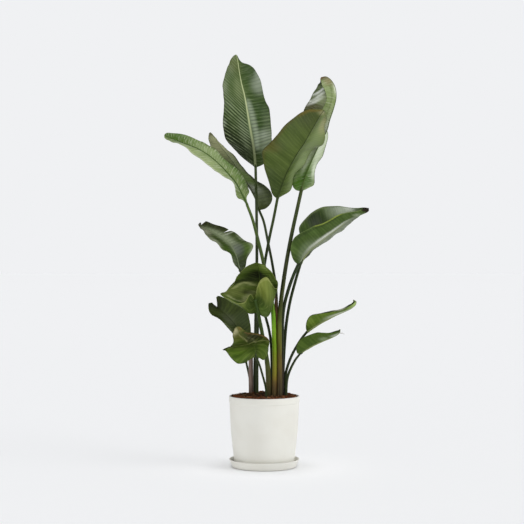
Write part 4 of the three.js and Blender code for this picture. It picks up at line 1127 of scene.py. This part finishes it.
def blade_finish(name, look):
    """Two greens for two sides, then patches of tone and painted light, pale streaks and veins that are
    partly painted sheen, painted shade in the fold grooves, midrib, margin and dry end.
    """
    finish = Finish(name)
    step, blend, noise = finish.step, finish.blend, finish.noise
    far, run, share = finish.parts(finish.attribute("vein", "Vector"))
    across, under, _ = finish.parts(finish.attribute("skin", "Vector"))
    away = finish.maths("ABSOLUTE", far)
    strip = finish.vector(run, far * 0.06, 0.0)
    broad, lines = noise(strip, 42.0), noise(strip, 330.0, 3.0)
    fine = finish.maths("SINE", run * (FULL_TURN / FINE_VEINS) + broad * 9.0)
    beat = run * (FULL_TURN / look["veins"]) + finish.maths("SINE", run * BEAT_DRIFT) * BEAT_SWING
    crest = finish.maths("COSINE", beat) * 0.5 + 0.5
    main = step(crest, 0.86, 1.0)

    def side_colour(first, second, streaks, *streaked):
        return blend(step(broad, *streaked), blend(step(share, 0.1, 1.0), first, second), streaks)

    colour = blend(under, side_colour(*look["upper"], 0.35, 0.68), side_colour(*look["under"], 0.38, 0.66))
    colour = blend(step(noise(finish.place, 11.0, 3.0), 0.42, 0.75) * 0.35, colour, look["cloud"])
    # the patches kept on the mesh: tones, painted sheen and painted shade
    patch = finish.attribute("tone", "Color")
    colour = blend(Socket(finish, patch.output.node.outputs["Alpha"]), colour, patch)
    # fine pale streaks along the veins, partly painted sheen
    colour = blend(step(lines, 0.5, 0.8) * look["streaks_and_sheen"], colour, look["line"])
    clear = step(away, 0.003, 0.012) * step(far, -0.001, 0.001, *look["halves"])
    clear = clear * step(share, *look["fade"]) * step(share, *look["rise"])
    # painted shade in the grooves between the pleats
    colour = blend(step(crest, 0.6, 0.0) * clear * look["fold_share"], colour, look["fold"])
    ragged = step(noise(finish.vector(run, far * 0.4, 0.0), 95.0), 0.4, 0.62, 0.25, 1.5)
    # pale lines on the stronger veins, partly veins and partly painted sheen on the pleat crests
    colour = blend(main * clear * ragged * look["line_share"], colour, look["line"])
    width = step(share, 0.0, 1.0, look["rib_width"], look["rib_width"] * 0.3)
    colour = blend(step(away / width, 1.0, 0.45) * step(share, *look["rib_fade"]), colour, look["rib"])
    edge = step(across, look["edge_from"], look["edge_from"] + 0.023)
    colour = blend(edge * look["edge_share"], colour, look["edge"])
    dry = step(share + noise(finish.place, 55.0, 3.0) * 0.06, look["dry"], look["dry"] + 0.03)
    colour = blend(dry, colour, look["dry_colour"])

    rough = step(broad, 0.3, 0.7, look["gloss"], look["gloss"] + 0.1) + under * 0.12 + dry * 0.25
    relief = finish.bump(fine * 0.35 + lines * 1.2 + main * 0.8 + broad, 0.00012, 0.6)
    return finish.surface(colour, rough, look["shine"], relief)


# %% The finish of a stalk
def stalk_finish(name, look):
    """Colours by height in millimetres, with fine streaks along the stalk."""
    finish = Finish(name)
    level = finish.parts(finish.place)[2] * (1 / MM)
    streak = finish.noise(finish.vectors("MULTIPLY", finish.place, (420.0, 420.0, 7.0)), 1.0, 3.0)
    cloud = finish.noise(finish.place, 24.0, 3.0)
    low, high = look["stalk"][0][0], look["stalk"][-1][0]
    place = (level + (cloud - 0.5) * 70.0 - low) / (high - low)
    stops = [((stop - low) / (high - low), colour) for stop, colour in look["stalk"]]
    colour = finish.node("ShaderNodeValToRGB", {"Fac": place}, stops=stops)
    colour = finish.blend(finish.step(streak, 0.5, 0.72) * 0.4, colour, look["streak"])
    colour = finish.blend(finish.step(streak, 0.5, 0.3) * 0.4, colour, look["shade"])
    relief = finish.bump(streak, 0.0003, 0.6)
    return finish.surface(colour, finish.step(cloud, 0.3, 0.7, 0.4, 0.52), 0.2, relief)


# %% [markdown]
# ## Colours of each leaf
# Every leaf shares one set of values, and then says only how it differs: whether its upper or its
# under side is in view, how old it is, how steeply its veins run, where it has dried, and where sheen
# and shade are painted on it as colour. A stalk's colours belong to heights in millimetres.

# %% The values that all leaves share
COMMON = dict(
    # The fold colour is painted shade in the pleat grooves; the line colour is the pale of the stronger
    # veins and fine streaks, partly painted sheen on the pleat crests.
    lean=(0.45, 0.35), veins=0.014, fold_height=0.5, rib_width=0.0075, gloss=0.26, shine=0.16, slim=0.8,
    streaks_and_sheen=0.3, halves=(1.0, 1.0), fade=(0.0, 1.0, 1.0, 1.0), rise=(0.0, 1.0, 1.0, 1.0),
    rib_fade=(0.0, 1.0, 0.85, 0.85), fold=(28, 38, 10), fold_share=0.2, line_share=0.2,
    upper=((42, 56, 18), (46, 62, 20), (58, 74, 28)), under=((66, 86, 24), (72, 92, 28), (86, 106, 40)),
    cloud=(54, 66, 22), line=(96, 112, 52), rib=(138, 148, 98), edge=(62, 58, 24), edge_share=0.6,
    edge_from=0.972, dry=1.2, dry_colour=(96, 78, 46),
    stalk=[(276, (44, 54, 20)), (480, (34, 46, 12)), (800, (36, 48, 12)), (1200, (58, 72, 30))],
    streak=(54, 70, 24), shade=(14, 20, 3),
)

# %% How each leaf differs
LOOKS = {
    "leaf_tall_middle": dict(
        seed=2, lean=(0.8, 0.12), veins=0.0142, rib_width=0.0064, rib=(188, 196, 148), slim=0.7, shine=0.08,
        fold_height=0.55, fold_share=0.85, halves=(1.0, 0.5), fade=(0.4, 0.72, 1.0, 0.35),
        rise=(0.1, 0.24, 0.3, 1.0), rib_fade=(0.12, 0.5, 0.3, 0.85), streaks_and_sheen=0.6, line=(142, 156, 116),
        line_share=0.5, fold=(24, 34, 10), upper=((50, 70, 30), (60, 80, 36), (72, 92, 46)),
        cloud=(56, 80, 30),
        # Painted light on this leaf: the pale patches and the pale stroke are painted sheen, and the
        # near-black patches at the lower left and by the base are painted shade; the brownish end and the
        # saturated greens are its own colour.
        patches=[
            *soft("upper",
                (45, -40, 20, 50, (108, 124, 84), 50), (6, -65, 26, 90, (12, 22, 1), 97),
                (24, -95, 12, 30, (16, 26, 4), 90), (15, -55, 9, 70, (16, 26, 4), 80),
                (32, -20, 16, 22, (132, 144, 114), 60), (66, -50, 16, 80, (84, 100, 60), 50),
                (90, -60, 10, 90, (102, 110, 70), 70), (42, 50, 18, 70, (52, 80, 28), 60),
                (83, 60, 10, 50, (70, 90, 52), 60), (34, -97, 3, 10, (166, 176, 152), 60)),
            *stroke("upper", [(18, 20), (30, 24), (42, 19), (56, 12)], 4, 14, (164, 176, 152), 45),
            *soft("upper",
                (26, 75, 6, 40, (184, 194, 174), 70), (17, -10, 7, 14, (36, 46, 16), 70),
                (76, 95, 5, 16, (160, 170, 154), 60), (63, -95, 7, 20, (140, 150, 124), 60),
                (67, -20, 12, 25, (122, 134, 92), 60), (38, 85, 14, 25, (102, 118, 82), 60),
                (5, 30, 9, 50, (42, 58, 16), 75), (70, 85, 7, 40, (158, 168, 148), 70),
                (18, 80, 7, 50, (146, 158, 130), 70)),
        ]),
    "leaf_light_left": dict(
        seed=3, lean=(0.5, 0.5), veins=0.011, shine=0.15, fold_share=0.12, streaks_and_sheen=0.8, slim=0.55,
        under=((104, 126, 58), (100, 122, 52), (136, 154, 94)), line=(214, 222, 190), rib=(50, 76, 14),
        rib_width=0.005, cloud=(114, 134, 66), fade=(0.8, 0.88, 1.0, 0.1), fold=(84, 108, 44),
        streak=(138, 158, 58), shade=(52, 74, 8),
        stalk=[(276, (56, 42, 26)), (325, (82, 58, 30)), (350, (114, 90, 28)), (392, (126, 120, 26)),
               (470, (120, 152, 22)), (600, (96, 146, 16)), (660, (62, 88, 20)), (760, (44, 58, 16)),
               (1040, (64, 84, 34))],
        # Painted light on this leaf: the pale patches and the pale stroke along the right margin are
        # painted sheen and light shining through.
        patches=[
            *soft("under",
                (60, -50, 28, 55, (150, 168, 118), 75), (40, -45, 12, 40, (130, 150, 94), 40)),
            *stroke("under", [(30, -95), (70, -97)], 5, 14, (84, 100, 52), 40),
            *soft("under",
                (40, -85, 12, 25, (96, 130, 60), 60), (55, 75, 30, 50, (158, 174, 118), 60),
                (94, -50, 22, 110, (60, 90, 16), 95)),
            *stroke("under", [(15, 95), (75, 95)], 5, 10, (186, 194, 156), 40),
            *soft("under",
                (20, -70, 10, 30, (84, 124, 40), 60), (27, 0, 12, 12, (62, 88, 24), 60),
                (8, 0, 14, 150, (88, 108, 44), 70)),
        ]),
    "leaf_broad_front": dict(
        seed=4, rib=(42, 54, 16), rib_width=0.0035, line=(112, 128, 70), shine=0.13, slim=0.5, streaks_and_sheen=0.4,
        under=((63, 79, 27), (74, 90, 36), (84, 100, 44)), fold=(44, 56, 18), fold_share=0.12,
        fold_height=0.3, line_share=0.1, veins=0.0115,
        # Painted light on this leaf: the two large pale patches are painted sheen; the brown patches and
        # the brown stroke along the margin and at the end are its own dry colour.
        patches=[
            *soft("under",
                (60, -64, 42, 42, (116, 131, 84), 85), (30, -85, 16, 36, (126, 142, 98), 70),
                (85, 55, 12, 80, (64, 72, 36), 70), (10, 30, 14, 100, (46, 62, 20), 75),
                (38, -22, 14, 20, (58, 76, 24), 70), (55, 98, 30, 10, (88, 76, 40), 60),
                (46, 85, 6, 30, (98, 92, 44), 50), (82, -80, 10, 30, (150, 146, 104), 60),
                (97, -10, 3.5, 80, (150, 146, 106), 70)),
            *stroke("both", [(80, 97), (90, 93), (98.5, 50)], 2.5, 16, (106, 94, 38), 60),
        ]),
    "leaf_tall_right": dict(
        seed=5, dry=0.985, under=((104, 124, 66), (112, 128, 76), (126, 142, 92)), rib=(64, 82, 30),
        rib_width=0.0036, line=(190, 196, 172), fold=(78, 92, 48), shine=0.15, fold_share=0.1,
        line_share=0.1, streaks_and_sheen=0.5, slim=0.42, streak=(112, 112, 48), shade=(38, 36, 8),
        stalk=[(276, (52, 40, 26)), (340, (64, 50, 28)), (420, (100, 82, 32)), (540, (92, 98, 26)),
               (610, (62, 70, 20)), (760, (34, 42, 10)), (1095, (50, 64, 22))],
        # Painted light on this leaf: the three white strokes and the pale patches are painted sheen and
        # light shining through, and the near-black patch at 84 percent along is the painted shade of the
        # crease; the browns towards the hooked end are its own dry colour.
        patches=[
            *soft("upper", (80, -80, 12, 34, (116, 128, 90), 85)),
            *stroke("upper", [(69, -97), (78, -50)], 1.1, 9, (236, 240, 230), 80),
            *stroke("upper", [(73.5, -97), (82, -50)], 1.1, 9, (236, 240, 230), 85),
            *stroke("upper", [(79, -97), (86, -55)], 1.1, 9, (236, 240, 230), 80),
            *soft("upper",
                (84, -32, 9, 20, (30, 38, 12), 80), (74, -45, 8, 25, (158, 170, 122), 70),
                (67.5, -75, 4.5, 40, (72, 68, 22), 90), (77, -98, 3.5, 20, (96, 106, 66), 75)),
            *soft("under",
                (40, -40, 20, 60, (180, 190, 164), 90), (66, 10, 14, 50, (148, 160, 118), 60),
                (12, 50, 16, 70, (72, 114, 12), 95), (10, -30, 10, 60, (54, 86, 10), 92),
                (26, 36, 10, 22, (196, 210, 170), 85), (17, 74, 5, 25, (140, 166, 100), 70),
                (20, -75, 7, 25, (198, 210, 184), 60), (84, 5, 6, 12, (214, 218, 196), 70)),
            *soft("both", (94.5, 0, 4.5, 50, (54, 50, 28), 90)),
            *soft("under", (90, 0, 5, 40, (104, 108, 64), 65)),
            *soft("both", (53, 0, 7, 20, (196, 202, 178), 80)),
            *soft("under", (74, 15, 6, 20, (112, 130, 70), 60)),
            *stroke("under", [(12, -98), (55, -98)], 3, 4, (50, 52, 34), 85),
            *stroke("under", [(62, 45), (80, 45), (93, 30)], 4, 10, (96, 110, 60), 50),
            *stroke("under", [(65, -40), (85, -40)], 5, 12, (176, 184, 150), 40),
            *soft("under", (92, 30, 4, 50, (128, 116, 76), 60)),
            *soft("both", (98.5, 0, 3.5, 150, (78, 66, 36), 85)),
        ]),
    "leaf_dark_back": dict(
        seed=6, upper=((74, 84, 44), (84, 92, 54), (84, 96, 54)), rib=(84, 92, 60), rib_width=0.004,
        line_share=0.12,
        # Painted light on this leaf: the pale and grey patches are painted light and sheen.
        patches=[
            *soft("upper",
                (86, 0, 24, 160, (182, 184, 142), 92), (55, 30, 20, 70, (132, 142, 104), 80),
                (37, 10, 12, 50, (104, 134, 52), 75), (20, 20, 12, 60, (118, 128, 96), 75),
                (24, -5, 6, 50, (190, 196, 178), 75), (62, 95, 30, 20, (24, 34, 10), 70),
                (30, 90, 20, 30, (26, 36, 10), 70)),
            *soft("both", (99, 0, 4, 150, (70, 60, 40), 70)),
        ]),
    "leaf_split_left": dict(
        seed=7, rib=(112, 124, 88), rib_width=0.004, gloss=0.34, shine=0.15, line_share=0.12,
        upper=((52, 68, 26), (58, 74, 28), (70, 86, 38)),
        # Painted light on this leaf: the pale and grey patches and strokes are painted sheen.
        patches=[
            *soft("upper",
                (62, 20, 30, 38, (146, 156, 126), 85), (34, -55, 15, 36, (66, 94, 24), 70),
                (57, -80, 12, 24, (170, 176, 148), 75), (32, 97, 10, 18, (196, 206, 170), 80),
                (53, 95, 5, 12, (146, 156, 126), 60), (84, 90, 22, 60, (38, 42, 14), 95),
                (95, 30, 7, 70, (40, 42, 20), 80)),
            *stroke("upper", [(10, -96), (70, -96)], 5, 6, (168, 176, 140), 50),
            *stroke("upper", [(63, 50), (63, 95)], 1.2, 12, (190, 196, 176), 50),
            *soft("upper",
                (84, -55, 12, 50, (156, 158, 134), 85), (15, -50, 8, 40, (118, 128, 98), 70),
                (34, 35, 10, 40, (98, 104, 98), 70), (32, 75, 11, 26, (86, 114, 40), 75),
                (12, 20, 10, 90, (40, 52, 18), 70)),
            *soft("both", (100, 0, 6, 200, (34, 24, 12), 90)),
        ]),
    "leaf_hooded": dict(
        seed=8, shine=0.09, gloss=0.4, rib=(56, 70, 20), rib_width=0.003, veins=0.012,
        upper=((66, 86, 26), (66, 88, 22), (78, 98, 32)), line_share=0.1,
        under=((44, 62, 12), (48, 66, 14), (60, 78, 22)), edge=(140, 146, 84), edge_from=0.955,
        fold=(30, 42, 6), fold_share=0.12, streaks_and_sheen=0.35, line=(128, 138, 76),
        stalk=[(276, (62, 50, 30)), (330, (84, 76, 38)), (400, (78, 84, 36)), (440, (58, 72, 22)),
               (668, (46, 68, 18))],
        # Painted light on this leaf: the near-black patches are painted shade inside the hood, and the pale
        # strokes and the lighter patch on the front flap are painted highlights along its rims and painted
        # light.
        patches=[
            *soft("upper",
                (53, -55, 9, 50, (110, 120, 58), 80), (78, -2, 9, 36, (10, 15, 1), 97),
                (70, -25, 3.5, 30, (24, 32, 4), 80)),
            *stroke("upper", [(60, -55), (62, -49), (66, -42), (67.2, -30), (66.8, -21), (64, -12)],
                    1.2, 8, (156, 162, 104), 55),
            *stroke("upper", [(64, -29), (50, -28)], 2, 2.5, (146, 152, 96), 50),
            *stroke("upper", [(47, -62), (42, -49), (39, -36), (40, -28), (48, -20), (56, -13)],
                    1.4, 5, (160, 166, 112), 60),
            *soft("upper",
                (34, -45, 4.5, 30, (76, 108, 32), 85), (76, 80, 7, 30, (132, 148, 80), 75),
                (60, 8, 5, 14, (96, 106, 40), 80), (78, 85, 14, 25, (76, 100, 28), 70),
                (88, -70, 8, 35, (100, 116, 60), 70), (94, 0, 7, 120, (98, 116, 50), 80),
                (93, 60, 7, 35, (132, 150, 76), 80), (69, -66, 4.5, 24, (26, 32, 6), 93),
                (53, -85, 5, 14, (150, 160, 108), 45), (87, 30, 5, 30, (98, 118, 46), 70),
                (55, -20, 4, 12, (28, 36, 4), 80)),
            *soft("under",
                (19, 95, 15, 30, (118, 128, 58), 95), (26, 50, 12, 22, (58, 76, 26), 70),
                (15, 78, 4, 14, (76, 88, 24), 70), (22, 22, 5, 16, (112, 122, 88), 50),
                (18, 20, 8, 25, (76, 98, 36), 70), (30, 80, 8, 20, (82, 100, 40), 60),
                (27, -90, 10, 14, (112, 126, 60), 80)),
        ]),
    "leaf_low_front": dict(
        seed=9, shine=0.1, gloss=0.4, under=((66, 86, 24), (72, 94, 28), (88, 108, 40)), rib=(68, 84, 28),
        rib_width=0.003, upper=((60, 78, 20), (58, 74, 18), (70, 88, 26)), line_share=0.1, streaks_and_sheen=0.5,
        line=(126, 132, 74),
        patches=[
            *soft("upper",
                (34, -72, 14, 45, (82, 108, 30), 90), (26, 65, 14, 45, (68, 88, 26), 70),
                (14, 5, 10, 30, (40, 54, 12), 70)),
            *soft("both", (96, 0, 9, 200, (128, 126, 66), 85)),
            *soft("upper",
                (92, -55, 8, 50, (208, 202, 160), 85), (22, -85, 6, 25, (48, 64, 24), 80),
                (95, 40, 4, 40, (106, 78, 34), 60), (82, -40, 9, 60, (98, 100, 44), 70),
                (62, 50, 10, 60, (28, 28, 3), 95), (74, 60, 6, 40, (56, 46, 14), 80),
                (60, -40, 6, 50, (48, 58, 14), 70)),
            *stroke("upper", [(83, 55), (74, 75), (62, 88), (53, 95)], 2.5, 9, (104, 80, 40), 70),
            *stroke("upper", [(84, -15), (74, 0), (63, 5)], 2, 5, (146, 144, 96), 50),
            *stroke("upper", [(70, 28), (60, 30), (50, 26)], 2, 3, (132, 132, 96), 50),
            *stroke("upper", [(50, -62), (51, -40), (54.5, -20), (55, 7), (51, 43), (49, 95)],
                    0.8, 9, (132, 134, 84), 40),
            *stroke("upper", [(47, -50), (50, -20), (50, 10), (46, 40), (44, 80)], 2, 12, (44, 58, 14), 40),
            *stroke("upper", [(40, -75), (25, -40), (12, -10)], 3, 14, (46, 66, 14), 35),
            *stroke("upper", [(42, -10), (30, 5), (15, 10)], 3, 14, (44, 62, 14), 40),
            *soft("upper",
                (24, -60, 6, 25, (104, 128, 50), 40), (36, 30, 6, 22, (92, 112, 46), 50)),
            *soft("both",
                (57, -85, 6, 30, (16, 13, 5), 95), (45, -100, 12, 5, (40, 40, 14), 80)),
        ]),
    "leaf_boat_right": dict(
        seed=10, under=((58, 80, 28), (62, 84, 30), (76, 98, 44)), dry=0.965,
        upper=((54, 76, 26), (60, 82, 32), (74, 96, 42)), dry_colour=(34, 28, 16), edge=(96, 110, 62),
        edge_share=0.5, gloss=0.3, shine=0.15, edge_from=0.955, veins=0.0115, fold_share=0.14,
        line_share=0.16, rib=(128, 136, 110), rib_width=0.005,
        stalk=[(276, (60, 40, 24)), (400, (44, 36, 18)), (500, (28, 36, 10)), (803, (36, 50, 18))],
        # Painted light on this leaf: the pale patches on the far half are painted sheen, and the long
        # whitish patches along the keel are painted highlights.
        patches=[
            *soft("upper",
                (74, -75, 13, 45, (178, 188, 166), 90), (82, -95, 5, 30, (214, 220, 206), 70),
                (60, -68, 6, 30, (148, 162, 126), 50)),
            *soft("under", (87, 30, 3.5, 30, (164, 174, 144), 60)),
            *soft("both", (5, 0, 10, 80, (50, 70, 26), 75)),
            *soft("upper", (43, -75, 11, 50, (34, 46, 18), 80)),
            *soft("under",
                (20, 20, 16, 30, (112, 126, 94), 60), (48, 8, 31, 10, (206, 210, 196), 90)),
            *stroke("both", [(50, 97), (62, 96), (76, 96)], 3, 5, (158, 172, 70), 60),
            *stroke("both", [(80, 98), (95, 98)], 3, 5, (134, 146, 96), 50),
            *soft("upper", (45, -98, 50, 4, (96, 110, 70), 90)),
            *stroke("under", [(25, 90), (50, 86), (75, 86)], 4, 8, (40, 56, 18), 35),
        ]),
    "leaf_behind_right": dict(
        seed=11, under=((118, 128, 102), (130, 138, 118), (140, 148, 128)), line_share=0.08, fold_share=0.1,
        patches=[
            *soft("both", (8, 0, 20, 200, (44, 56, 28), 95)),
        ]),
    "leaf_small_upper": dict(
        seed=12, shine=0.12, under=((84, 110, 32), (94, 118, 36), (108, 130, 50)), fold_share=0.06,
        line_share=0.06, veins=0.0115, fold_height=0.3, edge=(58, 56, 26), edge_share=0.8, edge_from=0.95,
        # Painted light on this leaf: the two whitish patches are painted highlights.
        patches=[
            *soft("upper", (66, -90, 10, 35, (206, 212, 178), 80)),
            *soft("under", (62, 12, 24, 32, (212, 216, 200), 80)),
            *stroke("under", [(50, -95), (72, -95)], 4, 20, (40, 34, 18), 50),
            *soft("under", (88, 50, 10, 60, (140, 164, 92), 70)),
            *soft("both",
                (90, 40, 5, 80, (176, 200, 124), 60), (97, 50, 3, 60, (22, 20, 8), 95)),
        ]),
    "leaf_small_lower": dict(
        seed=13, shine=0.12, under=((58, 80, 21), (64, 86, 25), (73, 94, 32)), fold_share=0.06,
        line_share=0.06, veins=0.0115, fold_height=0.3, edge=(50, 50, 26), edge_share=0.8,
        thread=[(291, -80, 541), (299, -82, 534), (305, -83, 535), (309, -83, 532), (315, -84, 531)],
        # Painted light on this leaf: the two pale patches are painted sheen.
        patches=[
            *soft("under",
                (84, 16, 10, 32, (184, 190, 172), 75), (60, 20, 8, 25, (146, 162, 124), 60)),
            *soft("both", (100, 70, 8, 120, (20, 22, 12), 90)),
        ]),
    "leaf_low_left": dict(
        seed=14, shine=0.1, gloss=0.4, veins=0.0115, rib=(52, 62, 28), rib_width=0.004, line_share=0.06,
        upper=((50, 62, 20), (60, 72, 26), (68, 80, 36)), edge=(110, 120, 84), fold=(22, 30, 8),
        cloud=(50, 60, 20),
        # Painted light on this leaf: the grey and pale patches are painted sheen.
        patches=[
            *soft("both", (102, 0, 12, 150, (16, 18, 4), 80)),
            *soft("upper",
                (55, 60, 20, 40, (62, 74, 48), 50), (66, -20, 16, 40, (96, 102, 80), 60),
                (30, 10, 16, 50, (30, 40, 8), 60), (50, -90, 12, 20, (112, 122, 82), 65)),
        ]),
}

# %% All thirteen leaves
THREAD = Finish("dry_thread").surface((*screen(112, 102, 76), 1), 0.7, 0.2)
for leaf in leaves:
    name = leaf["name"]
    look = COMMON | LOOKS[name]
    parts = blade_arrays(leaf, look)
    blade = blade_mesh(name + "_blade", parts, look)
    blade.materials.append(blade_finish(name + "_blade", look))
    meshes = [blade, stalk_mesh(leaf, parts, stalk_finish(name + "_stalk", look))]
    if "thread" in look:
        meshes.append(thread_mesh(name + "_thread", look["thread"], THREAD))
    show(name + "_whole", joined(name + "_whole", meshes), "leaf_" + leaf["colour"], name)

# %% [markdown]
# ## New leaf and dry sheath
# The next leaf stands rolled up like a brown spear between the stalks. The oldest leaf has gone, and
# only its papery base is left. Both follow a path, so they come from the loft tree as well.

# %% The rolled spear and the papery base
NEW_LEAF = dict(
    foot=(51, -26),
    path=[(51, -27, 430), (49, -28, 545), (48, -28, 592), (47, -28, 635), (44, -29, 680)],
    widths=[(12, 12), (12, 12), (14, 12), (16, 13), (3, 3)],
    stalk=[(276, (86, 62, 40)), (420, (96, 78, 44)), (520, (110, 92, 46)), (600, (98, 70, 40)),
           (680, (74, 54, 32))],
    streak=(128, 110, 66), shade=(52, 34, 22),
)
DRY_SHEATH = dict(
    foot=(-53, 66),
    path=[(-54, 66, 360), (-54, 67, 426), (-55, 69, 487)],
    widths=[(19, 13), (17, 11), (7, 3)],
    stalk=[(276, (92, 72, 60)), (330, (128, 108, 98)), (440, (122, 102, 92)), (487, (100, 80, 66))],
    streak=(196, 182, 168), shade=(62, 46, 38),
)


def plain_stem(name, stem):
    """A stem without a blade, whose widths belong to its given points."""
    path, share, given = stem_path(stem["foot"], stem["path"], 5)
    widths = np.array([stem["widths"][0]] * len(STEM_LEVELS) + stem["widths"], float)
    sizes = np.stack([np.interp(share, given, widths[:, i]) for i in (0, 1)], -1)
    return tube(name, path, sizes, stalk_finish(name, stem), Sides=24)


show("new_leaf_rolled", plain_stem("new_leaf_rolled", NEW_LEAF), "new_leaf", "new_leaf")
show("dry_sheath_papery", plain_stem("dry_sheath_papery", DRY_SHEATH), "dry_sheath", "dry_sheath")
